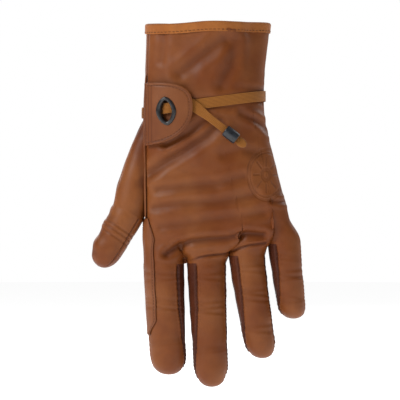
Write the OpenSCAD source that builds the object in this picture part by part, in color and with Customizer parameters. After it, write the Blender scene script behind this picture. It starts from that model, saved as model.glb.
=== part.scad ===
// Left-hand riding glove in thin smooth leather, filled out as if worn.
// Fingers point down (-Z), the back of the hand faces -Y, the thumb is at -X.
// The origin is the centre of the cuff mouth, where the hand goes in.
// Every leather piece is a thin curved wall, so the glove is hollow inside.

/* [Cuff and wrist] */
// Width across the cuff mouth
cuff_w = 88; // [70:0.5:110]
// Depth of the cuff mouth, back to palm
cuff_d = 55; // [40:0.5:75]
// Length from the cuff mouth to the middle of the wrist tape
cuff_len = 60; // [40:1:90]
// Width across the wrist under the tape
wrist_w = 88; // [65:0.5:110]
// Depth of the wrist, back to palm
wrist_d = 47; // [35:0.5:65]
// Sideways place of the wrist's middle
wrist_shift = -3.2; // [-10:0.1:10]
// Height of the binding that folds over the cuff edge
binding_h = 5.6; // [3:0.1:10]
// Thickness of the cuff binding
binding_t = 0.9; // [0.5:0.05:2]

/* [Hand] */
// Length from the wrist tape to the root of the index finger
hand_len = 115; // [85:1:150]
// Depth of the hand at mid palm
palm_d = 40; // [28:0.5:55]
// Depth of the hand where the fingers begin
root_d = 27; // [20:0.5:38]
// Sideways place of the index finger's outer edge
root_left = -46; // [-60:0.5:-35]
// Gap between neighbouring fingers at their roots
finger_gap = 1.9; // [1:0.1:6]
// How far the fingertips curl towards the palm
finger_curl = 7; // [0:0.5:12]
// Thickness of the leather
leather_t = 1.2; // [0.7:0.05:2]

/* [Index finger] */
// Width at the root
index_w = 28.6; // [20:0.1:36]
// Depth, back to palm
index_d = 24.5; // [18:0.1:32]
// Length from root to tip
index_len = 81.5; // [60:0.5:100]
// Length from the root to the middle knuckle
index_knuckle = 29; // [20:0.5:45]
// Sideways drift of the tip
index_splay = 3; // [-6:0.1:12]

/* [Middle finger] */
// Width at the root
middle_w = 28.6; // [20:0.1:36]
// Depth, back to palm
middle_d = 25; // [18:0.1:32]
// Length from root to tip
middle_len = 91; // [65:0.5:112]
// Length from the root to the middle knuckle
middle_knuckle = 32; // [20:0.5:50]
// Sideways drift of the tip
middle_splay = 4; // [-6:0.1:12]

/* [Ring finger] */
// Width at the root
ring_w = 26.6; // [18:0.1:34]
// Depth, back to palm
ring_d = 24; // [18:0.1:32]
// Length from root to tip
ring_len = 75.5; // [55:0.5:100]
// Length from the root to the middle knuckle
ring_knuckle = 28; // [18:0.5:45]
// Sideways drift of the tip
ring_splay = 11.5; // [-6:0.1:12]
// How far its root sits above the index finger's
ring_up = 6; // [0:0.1:15]

/* [Little finger] */
// Width at the root
little_w = 24.2; // [16:0.1:30]
// Depth, back to palm
little_d = 21; // [15:0.1:28]
// Length from root to tip
little_len = 55; // [40:0.5:80]
// Length from the root to the middle knuckle
little_knuckle = 22; // [14:0.5:35]
// Sideways drift of the tip
little_splay = 7; // [-6:0.1:12]
// How far its root sits above the index finger's
little_up = 14.5; // [0:0.1:25]

/* [Thumb] */
// Width of the thumb at its root
thumb_w = 25; // [18:0.1:32]
// Depth of the thumb, back to palm
thumb_d = 23; // [16:0.1:30]
// Length of the thumb from the web to its tip
thumb_len = 45; // [32:0.5:65]
// Lean of the thumb away from the hand, in degrees
thumb_lean = 29; // [10:1:45]
// Distance from the index root up to the web of the thumb
web_up = 31.5; // [20:0.5:50]
// Distance from the wrist tape down to where the thumb starts to swell
swell_down = 10; // [2:0.5:30]

/* [Wrist tab] */
// Length of the tab from the side seam to its round end
tab_len = 33.5; // [22:0.5:50]
// Height of the tab above its middle line
tab_up = 19; // [12:0.5:28]
// Height of the tab below its middle line
tab_down = 26.3; // [14:0.5:36]
// Thickness of the tab's outer leather
tab_t = 1.1; // [0.7:0.05:2]
// Thickness of the tab's lining
lining_t = 0.6; // [0.4:0.05:1.5]
// Width of the pointed oval eyelet
eyelet_w = 12.8; // [8:0.1:18]
// Height of the eyelet
eyelet_h = 20.5; // [12:0.1:28]
// Width of the eyelet's rim
eyelet_rim = 2.6; // [1.5:0.1:4]
// Thickness of the eyelet's face
eyelet_t = 0.9; // [0.5:0.05:2]

/* [Tape and bead] */
// Width of the woven wrist tape
tape_w = 7.6; // [5:0.1:12]
// Thickness of the tape
tape_t = 0.8; // [0.4:0.05:1.6]
// Slope of the tape across the back of the wrist
tape_slope = 0.139; // [0:0.005:0.3]
// Width of the tape where it is folded to go through the bead
folded_w = 5.2; // [3:0.1:8]
// Length of tape from the tab to the bead
tail_len = 30; // [20:0.5:50]
// Outer diameter of the bead
bead_d = 8.6; // [6:0.1:14]
// Length of the bead
bead_len = 10.7; // [6:0.1:18]
// Wall of the bead
bead_wall = 1.3; // [0.8:0.05:3]
// How far the bead slides along the tape
bead_travel = 8; // [4:0.5:12]
// Length of the folded loop that stops the bead
loop_len = 7.6; // [5:0.1:14]
// Slope of the hanging tape below level, in degrees
tail_dip = 38; // [20:1:60]

/* [Reinforcement] */
// Thickness of the patch along the index finger
patch_t = 0.9; // [0.5:0.05:2]
// How far down the index finger the patch reaches
patch_len = 52; // [30:0.5:70]
// Radius of the piping in the side seam
welt_r = 0.9; // [0.5:0.05:2]

/* [Fits] */
// Space between neighbouring pieces that are sewn together
seam_gap = 0.2; // [0.1:0.05:0.6]
// Half of the space at a knuckle, where a finger bends
knuckle_gap = 0.6; // [0.4:0.05:1.5]
// Clearance between layers that slide over each other
layer_gap = 0.3; // [0.2:0.05:1]
// Space between the cuff binding and the leather it folds over
binding_gap = 0.6; // [0.5:0.05:1.2]
// Space between the wrist tape and the leather under it
tape_gap = 0.5; // [0.4:0.05:1.2]
// Space between the patch and the leather it is sewn on
patch_gap = 0.35; // [0.3:0.05:1]
// Room left at a fork between two fingers
fork_gap = 1; // [0.8:0.05:2]

/* [Hidden] */
// Half angles of the side strips: towards the back on their thumb and outer sides, and to the palm
front_in = [0, 58, 58, 58];
front_out = [48, 18, 18, 0];
side_palm = 34;
root_z = -(cuff_len + hand_len);
top_z = -binding_t - seam_gap;

widths = [index_w, middle_w, ring_w, little_w];
depths = [index_d, middle_d, ring_d, little_d];
lengths = [index_len, middle_len, ring_len, little_len];
knuckles = [index_knuckle, middle_knuckle, ring_knuckle, little_knuckle];
splays = [index_splay, middle_splay, ring_splay, little_splay];
tapers = [0.10, 0.17, 0.18, 0.20];
ups = [0, 0.5, ring_up, little_up];
function sum_to(n) = n == 0 ? 0 : widths[n - 1] + finger_gap + sum_to(n - 1);
centres = [for (f = [0:3]) root_left + sum_to(f) + widths[f] / 2];
root_right = root_left + sum_to(3) + widths[3];
finger_z = [for (f = [0:3]) root_z + ups[f]];

function mix(a, b, t) = a + (b - a) * t;
function clamp01(t) = min(max(t, 0), 1);
function ease(a, b, t) = let (u = clamp01((t - a) / (b - a))) u * u * (3 - 2 * u);
function power(v, n) = sign(v) * pow(abs(v), n);

// ---- Cuff and hand as one oval tube: half width, half depth and centre by height ----
wrist_z = -cuff_len;
swell_z = wrist_z - swell_down;
function edge_left(z) = lookup(-z, [
    [0, -cuff_w / 2],
    [cuff_len, wrist_shift - wrist_w / 2],
    [cuff_len + swell_down, wrist_shift - wrist_w / 2],
    [-root_z, root_left]]);
function edge_right(z) = lookup(-z, [
    [0, cuff_w / 2],
    [cuff_len * 0.65, wrist_shift + wrist_w / 2],
    [cuff_len + swell_down, wrist_shift + wrist_w / 2],
    [-root_z, root_right]]);
function half_depth(z) = lookup(-z, [
    [0, cuff_d / 2],
    [cuff_len, wrist_d / 2],
    [cuff_len + hand_len * 0.45, palm_d / 2],
    [-root_z, root_d / 2]]);
function squareness(z) = lookup(-z, [[0, 2.2], [cuff_len, 2.4], [-root_z, 3.2]]);
function oval(z, phi, inset) =
    let (l = edge_left(z), r = edge_right(z), n = 2 / squareness(z))
    [(l + r) / 2 + ((r - l) / 2 - inset) * power(cos(phi), n),
     (half_depth(z) - inset) * power(sin(phi), n), z];
// Angle on the back of the oval at a given x
function back_angle(x, z) =
    let (l = edge_left(z), r = edge_right(z))
    let (c = (x - (l + r) / 2) / ((r - l) / 2))
    360 - acos(max(-1, min(1, power(c, squareness(z) / 2))));
function on_back(x, z, lift) = oval(z, back_angle(x, z), -lift);
function back_y(x, z) = on_back(x, z, 0)[1];

// ---- One finger: s runs down from its root, angle 0 is +X and 270 the back ----
function finger_half(f, q) = widths[f] / 2 * (1 - tapers[f] * q);
function dome(q) = q <= 0.8 ? 1 : pow(max(1 - pow((q - 0.8) / 0.2, 2.3), 0), 1 / 2.3);
function finger_x(f, s) = centres[f] + splays[f] * pow(clamp01(s / lengths[f]), 1.2);
function finger_y(f, s) = finger_curl * pow(clamp01(s / lengths[f]), 2);
function finger(f, s, a, inset) =
    let (q = s / lengths[f], g = clamp01((q - 0.8) / 0.2))
    let (w = max(finger_half(f, q) * dome(q) - inset * (1 - g), 0.5))
    let (d = max(depths[f] / 2 * (1 - 0.1 * q) * dome(q) - inset * (1 - g), 0.5))
    [finger_x(f, s) + w * cos(a), finger_y(f, s) + d * sin(a),
     finger_z[f] - s + inset * g];

// ---- Thumb, along its own leaning axis ----
web = [root_left - 1.2, root_z + web_up];
thumb_dir = [-sin(thumb_lean), -cos(thumb_lean)];
thumb_side = [cos(thumb_lean), -sin(thumb_lean)];
thumb_c = [web[0] - thumb_side[0] * thumb_w / 2, web[1] - thumb_side[1] * thumb_w / 2];
function thumb(s, a, inset) =
    let (q = s / thumb_len, u = clamp01((q - 0.6) / 0.4))
    let (m = pow(max(1 - pow(u, 2.3), 0), 1 / 2.3))
    let (w = max(thumb_w / 2 * (1 - 0.14 * q) * m - inset * (1 - u), 0.5))
    let (d = max(thumb_d / 2 * (1 - 0.06 * q) * m - inset * (1 - u), 0.5))
    let (t = s - inset * u, c = w * cos(a))
    [thumb_c[0] + thumb_dir[0] * t + thumb_side[0] * c,
     2 * q * q + d * sin(a),
     thumb_c[1] + thumb_dir[1] * t + thumb_side[1] * c];
// Root of the thumb: a fan that swings from the side of the hand to the thumb
swell_top = [edge_left(swell_z), swell_z];
thumb_out = [thumb_c[0] - thumb_side[0] * thumb_w / 2, thumb_c[1] - thumb_side[1] * thumb_w / 2];
function swell(t) =
    let (m = [mix(swell_top[0], thumb_out[0], 0.72), mix(swell_top[1], thumb_out[1], 0.5)])
    (1 - t) * (1 - t) * swell_top + 2 * t * (1 - t) * m + t * t * thumb_out;
function thumb_root(t, a, inset) =
    let (lower = web + (1 - t) * [1.5, 6])
    let (o = swell(t), c = (lower + o) / 2, h = (lower - o) / 2, k = 1 - inset / norm(h))
    let (d = mix(palm_d * 0.25, thumb_d / 2, t) + 5 * t * (1 - t) - inset)
    [c[0] + h[0] * k * cos(a), d * sin(a), c[1] + h[1] * k * cos(a)];

// ---- Solids from grids of points ----
// Closed wall between two facing grids, rows by columns
module wall(outer, inner, flip = false) {
    nr = len(outer);
    nc = len(outer[0]);
    m = 2 * nc;
    pts = [for (i = [0:nr - 1]) each concat(outer[i], [for (j = [nc - 1:-1:0]) inner[i][j]])];
    sides = [for (i = [0:nr - 2], j = [0:m - 1])
        let (a = i * m + j, b = i * m + (j + 1) % m, c = b + m, d = a + m)
        each [[a, b, c], [a, c, d]]];
    first = [for (j = [0:nc - 2]) each [[j + 1, j, m - 1 - j], [j + 1, m - 1 - j, m - 2 - j]]];
    e = (nr - 1) * m;
    last = [for (j = [0:nc - 2])
        each [[e + j, e + j + 1, e + m - 2 - j], [e + j, e + m - 2 - j, e + m - 1 - j]]];
    faces = concat(sides, first, last);
    polyhedron(pts, flip ? [for (t = faces) [t[0], t[2], t[1]]] : faces);
}

// Closed ring: every row is a closed profile, and the last row meets the first
module ring(rows, flip = false) {
    nr = len(rows);
    m = len(rows[0]);
    pts = [for (r = rows) each r];
    faces = [for (i = [0:nr - 1], j = [0:m - 1])
        let (k = (i + 1) % nr, a = i * m + j, b = i * m + (j + 1) % m)
        let (c = k * m + (j + 1) % m, d = k * m + j)
        each [[a, b, c], [a, c, d]]];
    polyhedron(pts, flip ? [for (t = faces) [t[0], t[2], t[1]]] : faces);
}

// ---- Hand panels: the oval tube parts into four finger roots at its lower end ----
web_angle = asin((leather_t + 0.5) / (little_d / 2));
// Columns as [finger, angle from its thumb side, neighbour beside a fork or -1], thumb side first
hand_cols = [for (f = [0:3]) each [for (k = [0:5])
    let (a0 = f == 0 ? 2 : web_angle, a1 = f == 3 ? 178 : 180 - web_angle)
    [f, mix(a0, a1, k / 5), k == 0 && f > 0 ? f - 1 : k == 5 && f < 3 ? f + 1 : -1]]];
// How far a column beside a fork stops above its finger's root
function fork_rise(c) = c[2] < 0 ? 0
    : fork_gap + 0.35 * max(finger_z[c[2]] - finger_z[c[0]], 0);
function col_x(c) = centres[c[0]] - widths[c[0]] / 2 * cos(c[1]);
function col_share(c) = (col_x(c) - root_left) / (root_right - root_left);
hand_rows = [0, 0.1, 0.2, 0.3, 0.4, 0.5, 0.6, 0.7, 0.8, 0.87, 0.94, 1];
thumb_top = (-swell_z) / -root_z;
thumb_end = (-web[1]) / -root_z;
// Left edge of the back panel, where the side seam runs, as an angle on the oval
function seam_angle(v) = mix(199, 184, ease(thumb_end, 1, v));
// side = -1 for the back of the hand, 1 for the palm
function hand_point(c, v, side, inset) =
    let (w = ease(0.8, 1, v), f = c[0], zr = finger_z[f] + knuckle_gap + fork_rise(c))
    let (z = mix(top_z, zr, v), share = acos(1 - 2 * col_share(c)) / 180)
    let (open = ease(thumb_top - 0.09, thumb_top + 0.005, v)
              * (1 - ease(thumb_end - 0.02, thumb_end + 0.03, v)))
    let (seam = seam_angle(v) - 180)
    let (start = side < 0 ? seam + seam_gap : mix(-seam + 1.5, 30, open))
    let (a = mix(start, 179.7, share))
    let (o = oval(z, side < 0 ? 180 + a : 180 - a, inset))
    let (dy = depths[f] / 2, sa = sin(c[1]))
    let (ly = c[2] >= 0 ? dy * sa - inset : (dy - inset) * sa)
    let (l = [centres[f] - (widths[f] / 2 - inset) * cos(c[1]), side * ly, z])
    mix(o, l, w);
module hand_panel(side) {
    wall([for (v = hand_rows) [for (c = hand_cols) hand_point(c, v, side, 0)]],
         [for (v = hand_rows) [for (c = hand_cols) hand_point(c, v, side, leather_t)]],
         side > 0);
}

module back_panel() color([0.49, 0.28, 0.16]) hand_panel(-1);
module palm_panel() color([0.46, 0.26, 0.14]) hand_panel(1);

// Root of the thumb, sewn to the side of the hand
module thumb_root_half(a0, a1) {
    ts = [for (k = [0:6]) mix(0.06, 1 - knuckle_gap / 40, k / 6)];
    as = [for (k = [0:8]) mix(a0, a1, k / 8)];
    wall([for (t = ts) [for (a = as) thumb_root(t, a, 0)]],
         [for (t = ts) [for (a = as) thumb_root(t, a, leather_t)]]);
}
module thumb_root_back() color([0.5, 0.3, 0.18]) thumb_root_half(181, 359);
module thumb_root_palm() color([0.46, 0.26, 0.14]) thumb_root_half(1, 179);

// Moving thumb
thumb_rows = concat([for (k = [0:3]) mix(knuckle_gap, thumb_len * 0.6, k / 3)],
    [for (b = [25, 48, 70, 90]) thumb_len * (0.6 + 0.4 * sin(b))]);
module thumb_half(a0, a1) {
    as = [for (k = [0:8]) mix(a0, a1, k / 8)];
    wall([for (s = thumb_rows) [for (a = as) thumb(s, a, 0)]],
         [for (s = thumb_rows) [for (a = as) thumb(s, a, leather_t)]]);
}
module thumb_back() color([0.52, 0.32, 0.2]) thumb_half(181, 359);
module thumb_palm() color([0.46, 0.26, 0.14]) thumb_half(1, 179);

// ---- Fingers: a back, a palm side and the strips between, in two lengths each ----
function base_rows(f) = [for (k = [0:3]) mix(knuckle_gap, knuckles[f] - knuckle_gap, k / 3)];
function end_rows(f) = concat(
    [for (k = [0:3]) mix(knuckles[f] + knuckle_gap, lengths[f] * 0.8, k / 3)],
    [for (b = [25, 48, 70, 90]) lengths[f] * (0.8 + 0.2 * sin(b))]);
function narrow(f, s) = max(1 - pow(clamp01(s / lengths[f]), 2.5), 0.04);
// Half angle of the side strip, nothing on the outer side of the hand
function strip(f, s, left, palm) =
    let (front = left ? front_in[f] : front_out[f])
    front == 0 ? 0 : (palm ? side_palm : front) * narrow(f, s);
gap_angle = seam_gap / 12 * 57.3;
module finger_face(f, rows, palm) {
    n = 7;
    function a(s, k) = palm
        ? mix(strip(f, s, false, true), 180 - strip(f, s, true, true), k)
        : mix(180 + strip(f, s, true, false), 360 - strip(f, s, false, false), k);
    function b(s, k) = a(s, k) + gap_angle * (1 - 2 * k);
    wall([for (s = rows) [for (k = [0:n]) finger(f, s, b(s, k / n), 0)]],
         [for (s = rows) [for (k = [0:n]) finger(f, s, b(s, k / n), leather_t)]]);
}
// Strip between two fingers, on the left or the right of finger f
module finger_strip(f, rows, left) {
    kept = [for (s = rows) if (s <= lengths[f] * 0.9) s];
    function a(s, k) = left
        ? mix(180 - strip(f, s, true, true), 180 + strip(f, s, true, false), k)
        : mix(-strip(f, s, false, false), strip(f, s, false, true), k);
    function b(s, k) = a(s, k) + gap_angle * (1 - 2 * k);
    wall([for (s = kept) [for (k = [0:3]) finger(f, s, b(s, k / 3), 0)]],
         [for (s = kept) [for (k = [0:3]) finger(f, s, b(s, k / 3), leather_t)]]);
}
leather = [0.49, 0.28, 0.16];
leather_side = [0.36, 0.2, 0.11];
module index_back_base() color(leather) finger_face(0, base_rows(0), false);
module index_palm_base() color(leather) finger_face(0, base_rows(0), true);
module index_strip_base() color(leather_side) finger_strip(0, base_rows(0), false);
module index_back_end() color(leather) finger_face(0, end_rows(0), false);
module index_palm_end() color(leather) finger_face(0, end_rows(0), true);
module index_strip_end() color(leather_side) finger_strip(0, end_rows(0), false);
module middle_back_base() color(leather) finger_face(1, base_rows(1), false);
module middle_palm_base() color(leather) finger_face(1, base_rows(1), true);
module middle_thumb_strip_base() color(leather_side) finger_strip(1, base_rows(1), true);
module middle_outer_strip_base() color(leather_side) finger_strip(1, base_rows(1), false);
module middle_back_end() color(leather) finger_face(1, end_rows(1), false);
module middle_palm_end() color(leather) finger_face(1, end_rows(1), true);
module middle_thumb_strip_end() color(leather_side) finger_strip(1, end_rows(1), true);
module middle_outer_strip_end() color(leather_side) finger_strip(1, end_rows(1), false);
module ring_back_base() color(leather) finger_face(2, base_rows(2), false);
module ring_palm_base() color(leather) finger_face(2, base_rows(2), true);
module ring_thumb_strip_base() color(leather_side) finger_strip(2, base_rows(2), true);
module ring_outer_strip_base() color(leather_side) finger_strip(2, base_rows(2), false);
module ring_back_end() color(leather) finger_face(2, end_rows(2), false);
module ring_palm_end() color(leather) finger_face(2, end_rows(2), true);
module ring_thumb_strip_end() color(leather_side) finger_strip(2, end_rows(2), true);
module ring_outer_strip_end() color(leather_side) finger_strip(2, end_rows(2), false);
module little_back_base() color(leather) finger_face(3, base_rows(3), false);
module little_palm_base() color(leather) finger_face(3, base_rows(3), true);
module little_strip_base() color(leather_side) finger_strip(3, base_rows(3), true);
module little_back_end() color(leather) finger_face(3, end_rows(3), false);
module little_palm_end() color(leather) finger_face(3, end_rows(3), true);
module little_strip_end() color(leather_side) finger_strip(3, end_rows(3), true);

// ---- Reinforcement patch round the outer side of the index finger ----
patch_lift = patch_gap + patch_t;
patch_cols = [100:10:240];
module finger_patch(rows) {
    wall([for (s = rows) [for (a = patch_cols) finger(0, s, a, -patch_lift)]],
         [for (s = rows) [for (a = patch_cols) finger(0, s, a, -patch_gap)]]);
}
module patch_index_base() color([0.53, 0.32, 0.19]) finger_patch(base_rows(0));
module patch_index_end() color([0.53, 0.32, 0.19]) finger_patch(
    [for (k = [0:3]) mix(knuckles[0] + knuckle_gap, patch_len, k / 3)]);
module patch_hand() {
    vs = [thumb_end + 0.012, 0.87, 0.94, 1];
    function p(v, a, lift) = hand_point([0, abs(a - 180), -1], v, a < 180 ? 1 : -1, -lift);
    color([0.53, 0.32, 0.19])
        wall([for (v = vs) [for (a = patch_cols) p(v, a, patch_lift)]],
             [for (v = vs) [for (a = patch_cols) p(v, a, patch_gap)]]);
}

// ---- Cuff binding: a folded strip over both sides of the edge ----
module cuff_binding() {
    out = -binding_t - binding_gap;
    in = leather_t + binding_t + binding_gap;
    profile = [[out, -binding_h], [out, -binding_t * 0.6], [out + binding_t * 0.6, 0],
        [in - binding_t * 0.6, 0], [in, -binding_t * 0.6], [in, -binding_h],
        [in - binding_t, -binding_h], [in - binding_t, -binding_t],
        [out + binding_t, -binding_t], [out + binding_t, -binding_h]];
    color([0.64, 0.38, 0.2])
        ring([for (k = [0:59]) [for (p = profile) oval(p[1], k * 6, p[0])]]);
}

// ---- Piping in the side seam, from above the tab to the thumb ----
module side_welt() {
    v0 = (cuff_len - tab_up - 4) / -root_z;
    v1 = thumb_end - 0.085;
    rows = [for (k = [0:12]) mix(v0, v1, k / 12)];
    function at(v, b) =
        let (z = mix(top_z, root_z, v), a = seam_angle(v) + 2.5)
        let (c = oval(z, a, -welt_r - seam_gap), o = oval(z, a, -3), d = o - c)
        let (n = d / norm(d), t = [-n[1], n[0], 0])
        c + welt_r * (cos(b) * n + sin(b) * t);
    color([0.51, 0.33, 0.21])
        wall([for (v = rows) [for (b = [0, 60, 120, 180]) at(v, b)]],
             [for (v = rows) [for (b = [0, 300, 240, 180]) at(v, b - 0.01)]]);
}

// ---- Wrist tape: round the wrist, open at the side seam ----
tape_z = wrist_z;
tab_x = wrist_shift - wrist_w / 2 + 3.3;
function tape_mid(x) = tape_z + tape_slope * (x - tab_x - tab_len);
module wrist_tape() {
    steps = [for (k = [0:48]) mix(208, 552, k / 48)];
    lift = tape_gap;
    function at(a, dz, off) =
        let (x = oval(tape_z, a, 0)[0])
        let (zm = sin(a) < 0 ? tape_mid(x) : tape_mid(edge_right(tape_z)))
        let (zs = sin(a) < 0 ? zm : mix(tape_mid(edge_left(tape_z)), zm,
            clamp01((x - edge_left(tape_z)) / (edge_right(tape_z) - edge_left(tape_z)))))
        oval(zs + dz, a, -off);
    color([0.65, 0.43, 0.18])
        wall([for (a = steps) [for (d = [-0.5, 0.5]) at(a, d * tape_w, lift + tape_t)]],
             [for (a = steps) [for (d = [-0.5, 0.5]) at(a, d * tape_w, lift)]]);
}

// ---- Wrist tab with its eyelet, sewn at the side seam ----
tab_z = wrist_z - 2.8;
tab_lift = tape_gap + 2 * tape_t + 4 * layer_gap;
eyelet_x = tab_x + tab_len / 2;
eyelet_z = tab_z - 1.8;
// Outline of the tab, straight at the seam and rounded at its free end
function tab_edge(b, grow) =
    let (n = sin(b) > 0 ? 3.3 : 2.1, h = (sin(b) > 0 ? tab_up : tab_down) + grow)
    let (r = pow(pow(abs(cos(b)) / (tab_len + grow), n) + pow(abs(sin(b)) / h, n), -1 / n))
    [tab_x + max(r * cos(b), 0.01), tab_z + r * sin(b)];
tab_outline = concat([for (b = [-86:7.1666:86]) tab_edge(b, 0)],
    [for (t = [0.8:-0.2:0.2]) [tab_x, tab_z + mix(-tab_down, tab_up, t)]]);
function oval_edge(b, w, h) =
    let (r = pow(pow(abs(cos(b)) / w, 1.7) + pow(abs(sin(b)) / h, 1.7), -1 / 1.7))
    [eyelet_x + r * cos(b + 4), eyelet_z + r * sin(b + 4)];
module tab_layer(lift, t) {
    function hole(p) =
        let (b = atan2(p[1] - eyelet_z, p[0] - eyelet_x))
        oval_edge(b, eyelet_w / 2 - eyelet_rim * 0.7, eyelet_h / 2 - eyelet_rim * 0.7);
    function put(p, up) = on_back(p[0], p[1], up);
    ring([for (p = tab_outline)
        let (h = hole(p))
        concat([for (k = [0:3]) put(mix(h, p, k / 3), lift + t)],
               [for (k = [3:-1:0]) put(mix(h, p, k / 3), lift)])], true);
}
module tab_lining() color([0.4, 0.24, 0.14]) tab_layer(tab_lift, lining_t);
module tab_face() color([0.51, 0.3, 0.18]) tab_layer(tab_lift + lining_t + layer_gap, tab_t);
module eyelet_ring(lift, t) {
    ring([for (b = [0:10:350])
        let (o = oval_edge(b, eyelet_w / 2, eyelet_h / 2))
        let (i = oval_edge(b, eyelet_w / 2 - eyelet_rim, eyelet_h / 2 - eyelet_rim))
        [on_back(i[0], i[1], lift), on_back(i[0], i[1], lift + t * 0.6),
         on_back(mix(i, o, 0.3)[0], mix(i, o, 0.3)[1], lift + t),
         on_back(mix(i, o, 0.7)[0], mix(i, o, 0.7)[1], lift + t),
         on_back(o[0], o[1], lift + t * 0.6), on_back(o[0], o[1], lift)]]);
}
module eyelet() color([0.1, 0.09, 0.1])
    eyelet_ring(tab_lift + lining_t + tab_t + layer_gap + seam_gap, eyelet_t);

// ---- Loose end of the tape, with its bead and end loop ----
tail_x = tab_x + tab_len - 1.2;
tail_z = tape_mid(tail_x) + 0.4;
tail_dir = [cos(tail_dip), 0, -sin(tail_dip)];
tail_side = [sin(tail_dip), 0, cos(tail_dip)];
tail_low = back_y(tail_x, tail_z) - tape_gap - 2 * layer_gap - tape_t * 1.5;
tail_high = back_y(tail_x, tail_z) - bead_d / 2 - 2 * layer_gap;
function tail_y(s) = mix(tail_low, tail_high, ease(5, tail_len - bead_travel - 3, s));
function tail_half(s) = mix(tape_w, folded_w, ease(2, tail_len - bead_travel - 3, s)) / 2;
function tail_at(s, across, up) =
    [tail_x, 0, tail_z] + tail_dir * s + tail_side * across + [0, tail_y(s) - up, 0];
module tape_tail() {
    rows = [for (k = [0:12]) mix(-2, tail_len + bead_len + 0.8, k / 12)];
    color([0.6, 0.39, 0.17])
        wall([for (s = rows) [for (e = [-1, 0, 1]) tail_at(s, e * tail_half(s), tape_t / 2)]],
             [for (s = rows) [for (e = [-1, 0, 1]) tail_at(s, e * tail_half(s), -tape_t / 2)]]);
}
module tape_end_loop() {
    s0 = tail_len + bead_len + 0.9;
    rows = [for (k = [0:6]) k / 6];
    function half(k) = folded_w / 2 + 0.7 * sin(180 * pow(k, 0.8)) - 1.2 * pow(k, 4);
    function fat(k) = tape_t * (0.75 + 0.9 * sin(180 * pow(k, 0.7))) - 0.2 * k;
    color([0.6, 0.39, 0.17])
        wall([for (k = rows) [for (e = [-1, -0.5, 0.5, 1])
                 tail_at(s0 + k * loop_len, e * half(k), fat(k) * (abs(e) == 1 ? 0.6 : 1))]],
             [for (k = rows) [for (e = [-1, -0.5, 0.5, 1])
                 tail_at(s0 + k * loop_len, e * half(k), -fat(k) * (abs(e) == 1 ? 0.6 : 1))]]);
}
module bead() {
    r = bead_d / 2;
    c = 0.7;
    bore = r - bead_wall;
    color([0.1, 0.11, 0.14])
        translate([tail_x, tail_high, tail_z] + tail_dir * (tail_len + 0.2))
            rotate([0, 90 + tail_dip, 0])
                rotate_extrude($fn = 48)
                    polygon([[bore, 0], [r - c, 0], [r, c], [r, bead_len - c],
                             [r - c, bead_len], [bore, bead_len]]);
}

back_panel();
palm_panel();
thumb_root_back();
thumb_root_palm();
cuff_binding();
side_welt();
wrist_tape();
patch_hand();
index_back_base();
index_palm_base();
index_strip_base();
patch_index_base();
index_back_end();
index_palm_end();
index_strip_end();
patch_index_end();
middle_back_base();
middle_palm_base();
middle_thumb_strip_base();
middle_outer_strip_base();
middle_back_end();
middle_palm_end();
middle_thumb_strip_end();
middle_outer_strip_end();
ring_back_base();
ring_palm_base();
ring_thumb_strip_base();
ring_outer_strip_base();
ring_back_end();
ring_palm_end();
ring_thumb_strip_end();
ring_outer_strip_end();
little_back_base();
little_palm_base();
little_strip_base();
little_back_end();
little_palm_end();
little_strip_end();
thumb_back();
thumb_palm();
tab_face();
tab_lining();
eyelet();
tape_tail();
tape_end_loop();
bead();
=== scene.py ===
"""A left-hand leather riding glove, filled out as if worn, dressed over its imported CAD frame.

Every leather panel is a fine grid swept over the same cuff, hand, finger and thumb shapes as the CAD,
pushed in and out by creases, folds, seams and puckers. Lengths are metres in the row frame.
"""
import logging  # noqa: E402
import math  # noqa: E402
from dataclasses import dataclass, field  # noqa: E402
from enum import Enum  # noqa: E402

import bmesh  # noqa: E402
import bpy  # noqa: E402
import numpy as np  # noqa: E402
from mathutils import Matrix, Vector  # noqa: E402


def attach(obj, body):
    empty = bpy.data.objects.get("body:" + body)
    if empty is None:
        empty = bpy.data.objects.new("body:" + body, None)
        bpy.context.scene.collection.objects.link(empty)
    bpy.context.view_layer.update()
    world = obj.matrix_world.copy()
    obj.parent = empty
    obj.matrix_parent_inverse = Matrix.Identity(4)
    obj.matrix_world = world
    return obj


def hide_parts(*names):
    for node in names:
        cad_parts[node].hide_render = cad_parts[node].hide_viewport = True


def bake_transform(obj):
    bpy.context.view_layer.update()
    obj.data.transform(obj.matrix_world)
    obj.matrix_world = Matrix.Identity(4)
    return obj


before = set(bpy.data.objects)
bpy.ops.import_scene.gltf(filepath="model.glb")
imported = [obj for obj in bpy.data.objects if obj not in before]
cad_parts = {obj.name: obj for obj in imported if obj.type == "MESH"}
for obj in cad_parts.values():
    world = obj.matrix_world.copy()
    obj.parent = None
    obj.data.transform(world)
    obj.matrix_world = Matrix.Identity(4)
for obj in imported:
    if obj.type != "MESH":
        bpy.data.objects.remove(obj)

Values = float | np.ndarray
Socket = bpy.types.NodeSocket | float

MM = 0.001
log = logging.getLogger("glove")


class Side(Enum):
    """Which face of the hand a panel lies on, as the sign of its y."""

    BACK = -1
    PALM = 1


class Part(Enum):
    """The leather pieces that one finger is sewn from."""

    BACK = "back"
    PALM = "palm"
    THUMB_STRIP = "thumb_strip"
    OUTER_STRIP = "outer_strip"


# ---------------------------------------------------------------- small maths


def mix(a: Values, b: Values, t: Values) -> Values:
    """Returns a at t = 0 and b at t = 1."""
    return a + (b - a) * t


def ease(a: float, b: float, t: Values) -> Values:
    """Returns 0 before a, 1 after b and the cubic 3u^2 - 2u^3 between."""
    u = np.clip((np.asarray(t, float) - a) / (b - a), 0, 1)
    return u * u * (3 - 2 * u)


def spow(v: Values, n: Values) -> Values:
    """Returns sign(v) |v|^n."""
    return np.sign(v) * np.abs(v) ** n


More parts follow.
